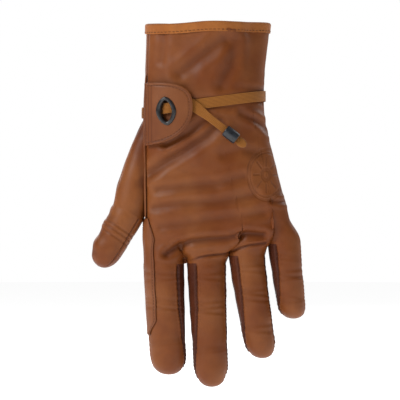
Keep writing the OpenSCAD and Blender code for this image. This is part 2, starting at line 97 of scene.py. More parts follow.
def blurred(z: Values, xs: list, ys: list, reach: float = 12 * MM) -> Values:
    """Piecewise-linear lookup, averaged over a window so its corners are round.

    Args:
        z: Places to look up.
        xs: Increasing stations.
        ys: Values at the stations.
        reach: Half of the window.

    Returns:
        The mean of interp(z + d) for nine d in [-reach, reach].
    """
    return np.mean([np.interp(np.asarray(z) + d, xs, ys) for d in np.linspace(-reach, reach, 9)], 0)


def bell(d: Values, width: float) -> Values:
    """Returns the bell curve exp(-(d / width)^2)."""
    return np.exp(-((d / width) ** 2))


def ripple(x: Values, z: Values, seed: int, size: float, count: int = 7) -> Values:
    """A soft random surface, the mean of a few plane waves.

    Args:
        x, z: Coordinates, of one shape.
        seed: Picks the waves.
        size: Typical wavelength.
        count: How many waves.

    Returns:
        sum sin(k . (x, z) + phase) / count, roughly in [-0.6, 0.6].
    """
    rng = np.random.default_rng(seed)
    total = np.zeros(np.broadcast(x, z).shape)
    for _ in range(count):
        turn, k = rng.uniform(0, math.tau), math.tau / (size * rng.uniform(0.7, 1.5))
        total += np.sin(k * (x * math.cos(turn) + z * math.sin(turn)) + rng.uniform(0, math.tau))
    return total / count


def normals_of(p: np.ndarray) -> np.ndarray:
    """Returns unit normals of a grid of points, the cross product of its two derivatives."""
    n = np.cross(np.gradient(p, axis=1), np.gradient(p, axis=0))
    return n / np.maximum(np.linalg.norm(n, axis=-1, keepdims=True), 1e-12)


# ---------------------------------------------------------------- shape


@dataclass(frozen=True)
class FingerSize:
    """Sizes of one finger stall, named as in the CAD."""

    name: str
    width: float
    depth: float
    length: float
    knuckle: float
    splay: float
    taper: float
    up: float
    seed: int
    front_in: float = 58.0
    front_out: float = 18.0


@dataclass(frozen=True)
class GloveShape:
    """The cuff, hand, fingers and thumb as smooth functions, with the CAD's driving sizes."""

    cuff_w: float = 88 * MM
    cuff_d: float = 55 * MM
    cuff_len: float = 60 * MM
    wrist_w: float = 88 * MM
    wrist_d: float = 47 * MM
    wrist_shift: float = -3.2 * MM
    hand_len: float = 115 * MM
    palm_d: float = 40 * MM
    root_d: float = 27 * MM
    root_left: float = -46 * MM
    finger_gap: float = 1.9 * MM
    curl: float = 7 * MM
    leather: float = 1.2 * MM
    swell_down: float = 10 * MM
    web_up: float = 31.5 * MM
    thumb_w: float = 25 * MM
    thumb_d: float = 23 * MM
    thumb_len: float = 45 * MM
    thumb_lean: float = math.radians(29)
    top: float = -1.1 * MM
    fingers: tuple = (
        FingerSize("index", 28.6 * MM, 24.5 * MM, 81.5 * MM, 29 * MM, 3 * MM, 0.10, 0.0, 11, 0.0, 48.0),
        FingerSize("middle", 28.6 * MM, 25 * MM, 91 * MM, 32 * MM, 4 * MM, 0.17, 0.5 * MM, 12),
        FingerSize("ring", 26.6 * MM, 24 * MM, 75.5 * MM, 28 * MM, 11.5 * MM, 0.18, 6 * MM, 13),
        FingerSize("little", 24.2 * MM, 21 * MM, 55 * MM, 22 * MM, 7 * MM, 0.20, 14.5 * MM, 14, 58.0, 0.0),
    )

    @property
    def root_z(self) -> float:
        """Height of the index finger's root."""
        return -(self.cuff_len + self.hand_len)

    @property
    def root_right(self) -> float:
        """Outer edge of the little finger's root."""
        return self.centre(3) + self.fingers[3].width / 2

    def centre(self, f: int) -> float:
        """Returns x of the middle of finger f's root."""
        before = sum(s.width + self.finger_gap for s in self.fingers[:f])
        return self.root_left + before + self.fingers[f].width / 2

    def finger_z(self, f: int) -> float:
        """Returns the height of finger f's root."""
        return self.root_z + self.fingers[f].up

    def edges(self, z: Values) -> tuple:
        """The left edge, right edge and half depth of the cuff and hand at height z.

        Args:
            z: Heights.

        Returns:
            The two edges in x, and the half depth.
        """
        down = self.cuff_len + self.swell_down
        half = self.wrist_w / 2
        left = blurred(-z, [0, self.cuff_len, down, -self.root_z],
                       [-self.cuff_w / 2, self.wrist_shift - half, self.wrist_shift - half, self.root_left])
        right = blurred(-z, [0, self.cuff_len * 0.65, down, -self.root_z],
                        [self.cuff_w / 2, self.wrist_shift + half, self.wrist_shift + half, self.root_right])
        deep = blurred(-z, [0, self.cuff_len, self.cuff_len + self.hand_len * 0.45, -self.root_z],
                       [self.cuff_d / 2, self.wrist_d / 2, self.palm_d / 2, self.root_d / 2])
        return left, right, deep

    def oval(self, z: Values, phi: Values, lift: Values = 0.0) -> np.ndarray:
        """The cuff and hand as a superellipse tube.

        Args:
            z: Heights.
            phi: Angles in radians, 0 at +X and 3 pi / 2 at the back of the hand.
            lift: Distance out from the leather's surface.

        Returns:
            Points (c + (a + lift) cos^m phi, (b + lift) sin^m phi, z) with m = 2 / squareness.
        """
        left, right, deep = self.edges(z)
        m = 2 / np.interp(-z, [0, self.cuff_len, -self.root_z], [2.2, 2.4, 3.2])
        x = (left + right) / 2 + ((right - left) / 2 + lift) * spow(np.cos(phi), m)
        return np.stack(np.broadcast_arrays(x, (deep + lift) * spow(np.sin(phi), m), z), -1)

    def back_angle(self, x: Values, z: Values) -> Values:
        """Returns the angle on the back of the oval at a given x."""
        left, right, _ = self.edges(z)
        c = np.clip((x - (left + right) / 2) / ((right - left) / 2), -1, 1)
        power = np.interp(-z, [0, self.cuff_len, -self.root_z], [2.2, 2.4, 3.2]) / 2
        return math.tau - np.arccos(spow(c, power))

    def on_back(self, x: Values, z: Values, lift: Values = 0.0) -> np.ndarray:
        """Returns points lift above the back of the hand, over the given x and z."""
        x, z = np.broadcast_arrays(np.asarray(x, float), np.asarray(z, float))
        return self.oval(z, self.back_angle(x, z), lift)

    def finger(self, f: int, s: Values, a: Values, lift: Values = 0.0) -> np.ndarray:
        """One finger stall.

        Args:
            f: Finger number, 0 for the index.
            s: Distance down from the root.
            a: Angle in radians round the finger, 3 pi / 2 at its back.
            lift: Distance out from its surface.

        Returns:
            Points of an ellipse that tapers, domes over the last fifth and curls towards the palm.
        """
        size = self.fingers[f]
        q = np.clip(np.asarray(s, float) / size.length, 0, 1)
        u = np.clip((q - 0.8) / 0.2, 0, 1)
        dome = np.maximum(1 - u**2.3, 0) ** (1 / 2.3)
        w = np.maximum(size.width / 2 * (1 - size.taper * q) * dome + lift * (1 - u), 0)
        d = np.maximum(size.depth / 2 * (1 - 0.1 * q) * dome + lift * (1 - u), 0)
        x = self.centre(f) + size.splay * q**1.2 + w * np.cos(a)
        return np.stack(np.broadcast_arrays(
            x, self.curl * q**2 + d * np.sin(a), self.finger_z(f) - s - lift * u), -1)

    @property
    def web(self) -> np.ndarray:
        """The web of the thumb in x and z."""
        return np.array([self.root_left - 1.2 * MM, self.root_z + self.web_up])

    @property
    def thumb_frame(self) -> tuple:
        """The middle of the thumb's root, its direction and its side, in x and z."""
        along = np.array([-math.sin(self.thumb_lean), -math.cos(self.thumb_lean)])
        side = np.array([math.cos(self.thumb_lean), -math.sin(self.thumb_lean)])
        return self.web - side * self.thumb_w / 2, along, side

    def thumb(self, s: Values, a: Values, lift: Values = 0.0) -> np.ndarray:
        """Points of the thumb stall, s down its leaning axis and a round it.

        Args:
            s: Distance from the root.
            a: Angle round it.
            lift: Distance out from the surface.

        Returns:
            Points of the thumb stall, s down its leaning axis and a round it.
        """
        c, along, side = self.thumb_frame
        q = np.clip(np.asarray(s, float) / self.thumb_len, 0, 1)
        u = np.clip((q - 0.6) / 0.4, 0, 1)
        dome = np.maximum(1 - u**2.3, 0) ** (1 / 2.3)
        w = np.maximum(self.thumb_w / 2 * (1 - 0.14 * q) * dome + lift * (1 - u), 0)
        d = np.maximum(self.thumb_d / 2 * (1 - 0.06 * q) * dome + lift * (1 - u), 0)
        t = s + lift * u
        x = c[0] + along[0] * t + side[0] * w * np.cos(a)
        z = c[1] + along[1] * t + side[1] * w * np.cos(a)
        return np.stack(np.broadcast_arrays(x, 2 * MM * q**2 + d * np.sin(a), z), -1)

    def thumb_root(self, t: Values, a: Values, lift: Values = 0.0) -> np.ndarray:
        """The swelling between the hand's side and the thumb.

        Args:
            t: 0 at the side of the hand, 1 at the thumb stall.
            a: Angle round it, 0 at the web and pi on the outer silhouette.
            lift: Distance out from its surface.

        Returns:
            Points of a fan of ellipses whose outer ends follow a quadratic curve.
        """
        c, _, side = self.thumb_frame
        end = c - side * self.thumb_w / 2
        high = -self.cuff_len - self.swell_down
        top = np.array([float(self.edges(np.array(high))[0]), high])
        bend = np.array([mix(top[0], end[0], 0.72), mix(top[1], end[1], 0.5)])
        t = np.asarray(t, float)[..., None]
        outer = (1 - t) ** 2 * top + 2 * t * (1 - t) * bend + t * t * end
        lower = self.web + (1 - t) * np.array([1.5 * MM, 6 * MM])
        mid, half = (lower + outer) / 2, (lower - outer) / 2
        half = half * (1 + lift / np.linalg.norm(half, axis=-1, keepdims=True))
        deep = mix(self.palm_d / 4, self.thumb_d / 2, t) + 5 * MM * t * (1 - t) + lift
        a = np.asarray(a, float)[..., None]
        xz = mid + half * np.cos(a)
        return np.concatenate(np.broadcast_arrays(xz[..., :1], deep * np.sin(a), xz[..., 1:]), -1)

    def seam_angle(self, v: Values) -> Values:
        """Returns how far past pi the side seam lies on the oval, at share v down the hand."""
        end = (self.web[1]) / self.root_z
        return np.radians(mix(19.0, 4.0, ease(end, 1, v)))

    def hand(self, side: Side, rows: int, per_finger: int) -> tuple:
        """Back or palm of the cuff and hand, an oval that parts into four finger roots.

        Args:
            side: Back or palm.
            rows: Rows from the cuff to the finger roots.
            per_finger: Columns over each finger.

        Returns:
            The grid of points, and each point's share v down the hand.
        """
        f = np.repeat(np.arange(4), per_finger)
        c = np.tile(np.linspace(0, math.pi, per_finger), 4)
        mids = np.array([self.centre(k) for k in range(4)])[f]
        wide = np.array([s.width for s in self.fingers])[f] / 2
        deep = np.array([s.depth for s in self.fingers])[f] / 2
        low = np.array([self.finger_z(k) for k in range(4)])[f]
        share = np.clip((mids - wide * np.cos(c) - self.root_left) / (self.root_right - self.root_left), 0, 1)
        v = np.linspace(0, 1, rows)[:, None]
        z = mix(self.top, low, v)
        even = np.linspace(0, 1, len(f))
        across = mix(even, np.arccos(1 - 2 * share) / math.pi, ease(0.6, 1, v))
        seam = self.seam_angle(v)
        top, end = (self.cuff_len + self.swell_down) / -self.root_z, self.web[1] / self.root_z
        opened = ease(top - 0.09, top + 0.005, v) * (1 - ease(end - 0.02, end + 0.03, v))
        start = seam if side is Side.BACK else mix(-seam, math.radians(3), opened)
        a = mix(start, math.pi, across)
        oval = self.oval(z, math.pi + a if side is Side.BACK else math.pi - a)
        lobe = np.stack(np.broadcast_arrays(mids - wide * np.cos(c), side.value * deep * np.sin(c), z), -1)
        return mix(oval, lobe, ease(0.88, 1, v)[..., None]), np.broadcast_to(v, z.shape)


# ---------------------------------------------------------------- relief of the leather


@dataclass(frozen=True)
class Crease:
    """A fold line through points in x and z (mm), its half width and depth (mm), and how dark its painted shade is.
    """

    points: tuple
    width: float
    depth: float
    dark: float = 0.4

    def depth_at(self, x: Values, z: Values) -> np.ndarray:
        """How deep the fold is at points x, z.

        Args:
            x, z: Coordinates in metres, of one shape.

        Returns:
            depth * exp(-(distance / width)^2), with the distance to the nearest segment, and a low
            ridge beside it.
        """
        best = np.full(np.broadcast(x, z).shape, 1e9)
        pts = np.array(self.points, float) * MM
        for a, b in zip(pts[:-1], pts[1:]):
            d = b - a
            t = np.clip(((x - a[0]) * d[0] + (z - a[1]) * d[1]) / (d @ d), 0, 1)
            best = np.minimum(best, np.hypot(x - a[0] - t * d[0], z - a[1] - t * d[1]))
        w = self.width * MM
        return self.depth * MM * (bell(best, w) - 0.35 * bell(best - 2.1 * w, w))


BACK_FOLDS = (
    Crease(((-30, -168), (-22, -162.5), (-12, -158.5), (0, -157), (14, -156.5), (28, -153), (40, -154)),
           2.6, 2.3, 0.75),
    Crease(((-13, -173.3), (-6, -170), (0, -168.8), (13.6, -167.4), (22.6, -163.5), (30.7, -161), (42, -159.6)),
           1.0, 1.0, 1.0),
    Crease(((-42, -109), (-30, -101), (-16, -93), (0, -82), (8, -74)), 3.8, 2.6, 0.6),
    Crease(((-20, -38), (-8, -29), (4, -20), (12, -14)), 4.2, 2.2, 0.4),
    Crease(((10, -46), (17, -32), (20, -14)), 4.0, 1.6, 0.35),
    Crease(((-36, -121), (-18, -119), (6, -117), (26, -112)), 3.0, 1.3, 0.4),
    Crease(((-39, -134), (-20, -131), (8, -130), (34, -125)), 2.8, 1.2, 0.4),
    Crease(((-34, -148), (-12, -145), (10, -142), (40, -138)), 2.8, 1.0, 0.3),
    Crease(((46, -129), (52, -130), (58, -129)), 1.8, 1.0, 0.5),
    Crease(((24, -66), (34, -70), (44, -78)), 2.4, 1.4, 0.5),
    Crease(((-30, -88), (-14, -80), (0, -70)), 3.2, 1.8, 0.55),
    Crease(((-34, -62), (-20, -52), (-10, -40)), 4.0, 0.9, 0.15),
    Crease(((12, -96), (24, -92), (38, -94)), 3.4, 0.9, 0.2),
    Crease(((-34, -28), (-32, -14), (-33, -4)), 2.6, 0.7, 0.15),
    Crease(((-16, -172), (-22, -177), (-30, -180)), 2.4, 0.8, 0.3),
)
PALM_FOLDS = (
    Crease(((-30, -150), (-24, -132), (-16, -112), (-12, -88)), 2.4, 1.6, 0.5),
    Crease(((-40, -152), (-10, -143), (25, -146)), 2.0, 1.3, 0.5),
    Crease(((58, -146), (30, -137), (0, -138), (-18, -146)), 2.0, 1.3, 0.5),
    Crease(((-30, -168), (0, -165), (38, -158)), 2.2, 1.0, 0.4),
    Crease(((-36, -52), (0, -50), (36, -53)), 3.2, 1.2, 0.25),
    Crease(((-30, -74), (5, -78), (38, -73)), 3.2, 1.4, 0.3),
    Crease(((30, -90), (42, -112), (50, -132)), 3.2, 1.1, 0.3),
    Crease(((-20, -34), (0, -22), (24, -14)), 4.2, 1.3, 0.2),
)


@dataclass(frozen=True)
class Relief:
    """How the leather stands in and out of its smooth shape, and where its creases get painted shade."""

    shape: GloveShape

    def hand(self, p: np.ndarray, v: np.ndarray, side: Side) -> tuple:
        """Relief of the back or palm.

        Args:
            p: The smooth grid.
            v: Share down the hand.
            side: Back or palm.

        Returns:
            Push along the normal, and a 0..1 mask of painted shade. The push is soft waves, minus the fold
            lines, minus gathers under the tape, and it fades out at the panel's edges. The mask darkens the
            folds, the gathers and the panel's edge.
        """
        x, z = p[..., 0], p[..., 2]
        folds = BACK_FOLDS if side is Side.BACK else PALM_FOLDS
        cuts = [c.depth_at(x, z) for c in folds]
        deep = sum(cuts)
        # Painted shade: each fold's depth, times its darkness, darkens the colour there.
        painted_shade = sum(np.clip(d / (c.depth * MM), 0, 1) * c.dark for c, d in zip(folds, cuts))
        line = -0.0634 + 0.139 * (x + 8.8 * MM)
        pleat = 0.5 + 0.5 * np.sin(z / (1.25 * MM) + 60 * x)
        gather = bell(z - line, 15 * MM) * ease(-5 * MM, 36 * MM, x) * pleat
        pinch = bell(z - line, 5 * MM) * ease(-30 * MM, 30 * MM, x)
        push = 0.95 * MM * ripple(x, z, 3 + side.value, 32 * MM) + 0.3 * MM * ripple(x, z, 7, 12 * MM)
        push = push - deep - 0.55 * MM * gather - 0.7 * MM * pinch
        for f in range(4):
            c, low = self.shape.centre(f), self.shape.finger_z(f)
            push = push + 0.7 * MM * bell(np.hypot(x - c * 0.97, z - low - 27 * MM), 9 * MM)
        cols = np.linspace(0, 1, p.shape[1])[None, :]
        fade = ease(0, 0.04, cols) * ease(0, 0.04, 1 - cols) * ease(1.0, 0.97, v)
        edge = bell(cols * 0.13, 1.1 * MM)
        # Painted shade in the folds, in the gathers under the tape and along the panel's seam edge.
        mask = np.clip(painted_shade + 0.3 * gather + 0.2 * pinch, 0, 1) * fade + 0.5 * edge
        return push * fade - 0.35 * MM * edge, np.clip(mask, 0, 1)

    def finger(self, f: int, s: Values, a: Values, seams: list) -> tuple:
        """Relief of a finger stall.

        Args:
            f: Finger number.
            s: Distance from the root.
            a: Angle round it.
            seams: Angles of its seams, each of s's shape.

        Returns:
            Push along the normal and a mask of painted shade in the creases and seam grooves. The push has
            waves, knuckle creases across it, a groove with puckers along each seam.
        """
        size = self.shape.fingers[f]
        rng = np.random.default_rng(size.seed)
        q = s / size.length
        radius = size.width / 2 * (1 - 0.25 * q)
        back, palm = ease(-0.2, 0.8, -np.sin(a)), ease(-0.2, 0.8, np.sin(a))
        wave = ripple(a * radius, s, size.seed, 16 * MM)
        push = 0.38 * MM * wave * ease(0, 4 * MM, s) * ease(1.0, 0.9, q)
        # The mask paints shade into the knuckle creases, the seam grooves and the puckers.
        mask = np.zeros(np.broadcast(s, a).shape)
        second = size.knuckle + 0.52 * (size.length - size.knuckle)
        for mid, count, deep in ((size.knuckle, 3, 0.42), (second, 2, 0.3), (9 * MM, 2, 0.3)):
            for k in range(count):
                at = mid + (k - (count - 1) / 2) * 3.1 * MM + rng.uniform(-0.5, 0.5) * MM
                bow = at + 1.4 * MM * np.cos(a + rng.uniform(-0.6, 0.6)) * rng.choice([-1, 1])
                line = bell(s - bow, 1.8 * MM) * (0.75 * back + palm * (1.2 if k == 1 else 0.4))
                push = push - deep * MM * (line - 0.4 * bell(s - bow - 2 * MM, 1.2 * MM) * back)
                mask = mask + 0.16 * deep / 0.42 * line
        for seam in seams:
            d = np.abs(np.angle(np.exp(1j * (a - seam)))) * radius
            fade = ease(1.0, 0.93, q)
            pucker = np.cos(s / (0.52 * MM) + 3 * np.sin(s / (6 * MM))) * bell(d, 2.6 * MM)
            push = push - fade * (0.85 * MM * bell(d, 0.8 * MM) - 0.3 * MM * bell(d - 1.9 * MM, 0.9 * MM))
            push = push + 0.16 * MM * fade * pucker * ease(2 * MM, 8 * MM, s)
            mask = mask + fade * (0.8 * bell(d, 0.7 * MM) + 0.1 * pucker)
        return push * ease(0, 2 * MM, s), np.clip(mask, 0, 1)

    def thumb(self, s: Values, a: Values) -> tuple:
        """Relief of the thumb stall: scallops on its outer side, two seams and knuckle creases.

        Args:
            s: Distance from the root.
            a: Angle round it.

        Returns:
            Push along the normal, and the 0..1 mask of painted shade in the scallops' hollows, creases and seams.
        """
        radius = self.shape.thumb_w / 2
        q = s / self.shape.thumb_len
        outer = ease(0.1, 1, -np.cos(a))
        scallop = np.sin(s / (2.3 * MM) + 0.8) * outer
        push = 0.5 * MM * scallop * ease(0, 6 * MM, s) * ease(1, 0.8, q)
        push = push + 0.35 * MM * ripple(a * radius, s, 21, 14 * MM) * ease(0, 4 * MM, s)
        # Painted shade in the scallops' hollows.
        mask = 0.35 * outer * ease(0.3, 1, -np.sin(s / (2.3 * MM) + 0.8))
        for k, at in enumerate((13, 16.5, 20.5)):
            bow = at * MM + 1.2 * MM * np.cos(a - 0.5)
            line = bell(s - bow, 0.9 * MM) * ease(-0.6, 0.6, -np.sin(a))
            push, mask = push - 0.4 * MM * line, mask + 0.3 * line
        for seam in (math.radians(318), math.pi * 0.98):
            d = np.abs(np.angle(np.exp(1j * (a - seam)))) * radius
            fade = ease(1.0, 0.9, q)
            push = push - fade * (0.6 * MM * bell(d, 0.75 * MM) - 0.2 * MM * bell(d - 1.7 * MM, 0.8 * MM))
            mask = mask + fade * bell(d, 0.7 * MM)
        return push * ease(0, 2 * MM, s), np.clip(mask, 0, 1)


# ---------------------------------------------------------------- meshes


def lengths_along(p: np.ndarray, axis: int) -> np.ndarray:
    """Returns the running length of a grid of points along one axis, starting at 0."""
    step = np.linalg.norm(np.diff(p, axis=axis), axis=-1)
    pad = [(1, 0) if k == axis else (0, 0) for k in range(2)]
    return np.cumsum(np.pad(step, pad), axis=axis)


def mesh_object(name: str, points: np.ndarray, faces: np.ndarray, crease: np.ndarray | None = None,
                uv: np.ndarray | None = None) -> bpy.types.Object:
    """Puts points and quads into a new object.

    Args:
        name: Name of the piece.
        points: Points, one to a row.
        faces: Corner numbers, four to a row.
        crease: Optional 0..1 mask, one to a point.
        uv: Optional lengths along and across in metres, one pair to a point.

    Returns:
        A smooth object at the origin. Points that meet at a pole are merged, and rims stay sharp.
    """
    mesh = bpy.data.meshes.new(name)
    mesh.from_pydata(points.tolist(), [], faces.tolist())
    if crease is not None:
        mesh.attributes.new("crease", "FLOAT", "POINT").data.foreach_set("value", crease.astype(np.float32))
    if uv is not None:
        layer = mesh.uv_layers.new(name="UVMap")
        corner = np.empty(len(mesh.loops), np.int32)
        mesh.loops.foreach_get("vertex_index", corner)
        layer.data.foreach_set("uv", uv[corner].astype(np.float32).ravel())
    edit = bmesh.new()
    edit.from_mesh(mesh)
    bmesh.ops.remove_doubles(edit, verts=edit.verts, dist=2e-6)
    edit.to_mesh(mesh)
    edit.free()
    mesh.shade_smooth()
    mesh.set_sharp_from_angle(angle=math.radians(55))
    obj = bpy.data.objects.new(name, mesh)
    bpy.context.scene.collection.objects.link(obj)
    return obj


def shell(name: str, outer: np.ndarray, inner: np.ndarray, crease: np.ndarray | None = None,
          closed: bool = False) -> bpy.types.Object:
    """A closed wall between two facing grids.

    Args:
        name: Name of the piece.
        outer, inner: Grids of points of one shape.
        crease: Optional mask over the grid.
        closed: Whether the last column meets the first.

    Returns:
        The object: outer quads, inner quads turned round, and a rim along each open edge, all
        facing out.
    """
    rows, cols = outer.shape[:2]
    n = rows * cols
    grid = np.arange(n).reshape(rows, cols)
    wide = np.concatenate([grid, grid[:, :1]], 1) if closed else grid
    a, b, c, d = wide[:-1, :-1], wide[:-1, 1:], wide[1:, 1:], wide[1:, :-1]
    parts = [np.stack([a, b, c, d], -1), np.stack([a, d, c, b], -1) + n]
    parts += [np.stack([b[0], a[0], a[0] + n, b[0] + n], -1), np.stack([d[-1], c[-1], c[-1] + n, d[-1] + n], -1)]
    if not closed:
        parts += [np.stack([a[:, 0], d[:, 0], d[:, 0] + n, a[:, 0] + n], -1),
                  np.stack([c[:, -1], b[:, -1], b[:, -1] + n, c[:, -1] + n], -1)]
    faces = np.concatenate([p.reshape(-1, 4) for p in parts])
    facing = np.cross(outer[:-1, 1:] - outer[:-1, :-1], outer[1:, :-1] - outer[:-1, :-1])
    if np.sum(facing * (outer - inner)[:-1, :-1]) < 0:
        faces = faces[:, ::-1]
    uv = np.stack([lengths_along(outer, 0), lengths_along(outer, 1)], -1).reshape(-1, 2)
    mask = None if crease is None else np.concatenate([crease.ravel(), crease.ravel()])
    points = np.concatenate([outer.reshape(-1, 3), inner.reshape(-1, 3)])
    return mesh_object(name, points, faces, mask, np.concatenate([uv, uv]))


def ring(name: str, rows: np.ndarray, capped: bool = False) -> bpy.types.Object:
    """A surface through rows of closed profiles.

    Args:
        name: Name of the piece.
        rows: Grid whose last column meets its first.
        capped: True for a tube with closed ends, False where the last row meets the first.

    Returns:
        The object, facing out. An end cap is the profile drawn in to its middle.
    """
    if capped:
        ends = [np.repeat(r.mean(0, keepdims=True), len(r), 0) for r in (rows[0], rows[-1])]
        rows = np.concatenate([ends[0][None], rows, ends[1][None]])
    count, cols = rows.shape[:2]
    grid = np.arange(count * cols).reshape(count, cols)
    down = grid if capped else np.concatenate([grid, grid[:1]])
    wide = np.concatenate([down, down[:, :1]], 1)
    a, b, c, d = wide[:-1, :-1], wide[:-1, 1:], wide[1:, 1:], wide[1:, :-1]
    faces = np.stack([a, b, c, d], -1).reshape(-1, 4)
    flat = rows.reshape(-1, 3)
    normal = np.cross(flat[faces[:, 1]] - flat[faces[:, 0]], flat[faces[:, 3]] - flat[faces[:, 0]])
    if np.sum(flat[faces[:, 0]] * normal) < 0:
        faces = faces[:, ::-1]
    uv = np.stack([lengths_along(rows, 0), lengths_along(rows, 1)], -1).reshape(-1, 2)
    return mesh_object(name, flat, faces, None, uv)


def stitch_row(name: str, path: np.ndarray, normal: np.ndarray, pitch: float,
               thread: float) -> bpy.types.Object:
    """A row of stitches, each a short bowed thread that dips into the leather at both ends.

    Args:
        name: Name of the piece.
        path: Dense line of points on the leather.
        normal: Directions out of the leather, one to a point.
        pitch: Distance from stitch to stitch.
        thread: Radius of the thread.

    Returns:
        One mesh. A point is base + along * t + out * (bow (1 - t^2)) plus a round profile.
    """
    run = np.concatenate([[0], np.cumsum(np.linalg.norm(np.diff(path, axis=0), axis=1))])
    count = max(int(run[-1] / pitch), 1)
    half = 0.36 * run[-1] / count
    at = (np.arange(count) + 0.5) * run[-1] / count

    def along_path(data: np.ndarray, s: np.ndarray) -> np.ndarray:
        """Returns data read at running lengths s."""
        return np.stack([np.interp(s, run, data[:, k]) for k in range(3)], -1)

    base = along_path(path, at)
    along = along_path(path, at + half) - along_path(path, at - half)
    along /= np.linalg.norm(along, axis=1, keepdims=True)
    out = along_path(normal, at)
    out -= along * np.sum(out * along, 1, keepdims=True)
    out /= np.linalg.norm(out, axis=1, keepdims=True)
    side = np.cross(along, out)
    t = np.array([-1.0, -0.9, -0.45, 0, 0.45, 0.9, 1.0])
    fat = np.array([0.0, 0.75, 1, 1, 1, 0.75, 0.0]) * thread
    turn = np.arange(6) * math.tau / 6
    rise = 0.9 * thread * (1 - t**2) - 0.35 * thread
    o = rise[:, None] + fat[:, None] * np.cos(turn)
    w = fat[:, None] * np.sin(turn)
    grids = (base[:, None, None] + along[:, None, None] * (t * half)[None, :, None, None]
             + out[:, None, None] * o[None, ..., None] + side[:, None, None] * w[None, ..., None])
    cell = np.arange(len(t) * 6).reshape(len(t), 6)
    wide = np.concatenate([cell, cell[:, :1]], 1)
    quad = np.stack([wide[:-1, :-1], wide[1:, :-1], wide[1:, 1:], wide[:-1, 1:]], -1).reshape(-1, 4)
    faces = (quad[None] + (np.arange(count) * len(t) * 6)[:, None, None]).reshape(-1, 4)
    return mesh_object(name, grids.reshape(-1, 3), faces)


# ---------------------------------------------------------------- finishes


def tone(r: int, g: int, b: int) -> tuple:
    """Returns a screen colour, 0 to 255, as linear red, green, blue and 1."""
    c = np.array([r, g, b]) / 255
    c = np.where(c <= 0.04045, c / 12.92, ((c + 0.055) / 1.055) ** 2.4)
    return (*c.tolist(), 1.0)


class Nodes:
    """Short calls for building a node tree."""

    def __init__(self, tree: bpy.types.NodeTree) -> None:
        """Keeps the tree."""
        self.tree = tree

    def add(self, kind: str, links: dict | None = None, **props) -> bpy.types.Node:
        """Adds a node.

        Args:
            kind: Node type.
            links: Input name or number to a socket to link or a value to set.
            props: Properties of the node.

        Returns:
            The node.
        """
        node = self.tree.nodes.new(kind)
        for key, value in props.items():
            setattr(node, key, value)
        for key, value in (links or {}).items():
            if isinstance(value, bpy.types.NodeSocket):
                self.tree.links.new(value, node.inputs[key])
            else:
                node.inputs[key].default_value = value
        return node

    def math(self, operation: str, a: Socket, b: Socket = 0.0, clamp: bool = False) -> bpy.types.NodeSocket:
        """Returns the result of a Math node."""
        return self.add("ShaderNodeMath", {0: a, 1: b}, operation=operation, use_clamp=clamp).outputs[0]

    def remap(self, value: Socket, low: float, high: float, to_low: float,
              to_high: float) -> bpy.types.NodeSocket:
        """Returns value carried from [low, high] to [to_low, to_high], clamped."""
        return self.add("ShaderNodeMapRange", {0: value, 1: low, 2: high, 3: to_low, 4: to_high}).outputs[0]

    def blend(self, factor: Socket, a: Socket, b: Socket) -> bpy.types.NodeSocket:
        """Returns a mix of two colours."""
        return self.add("ShaderNodeMix", {0: factor, 6: a, 7: b}, data_type="RGBA").outputs[2]

    def noise(self, vector: Socket, scale: float, detail: float = 2.0,
              rough: float = 0.5) -> bpy.types.NodeSocket:
        """Returns the value of a noise texture."""
        links = {"Vector": vector, "Scale": scale, "Detail": detail, "Roughness": rough}
        return self.add("ShaderNodeTexNoise", links).outputs[0]


def new_group(name: str, inputs: dict, outputs: dict) -> tuple:
    """Starts a shader node group.

    Args:
        name: Name of the group.
        inputs, outputs: Socket name to socket kind, such as "NodeSocketFloat".

    Returns:
        The group, its Nodes helper, its input node and its output node.
    """
    group = bpy.data.node_groups.new(name, "ShaderNodeTree")
    for socket, kind in inputs.items():
        group.interface.new_socket(socket, in_out="INPUT", socket_type=kind)
    for socket, kind in outputs.items():
        group.interface.new_socket(socket, in_out="OUTPUT", socket_type=kind)
    nodes = Nodes(group)
    return group, nodes, nodes.add("NodeGroupInput"), nodes.add("NodeGroupOutput")


F, C, V = "NodeSocketFloat", "NodeSocketColor", "NodeSocketVector"


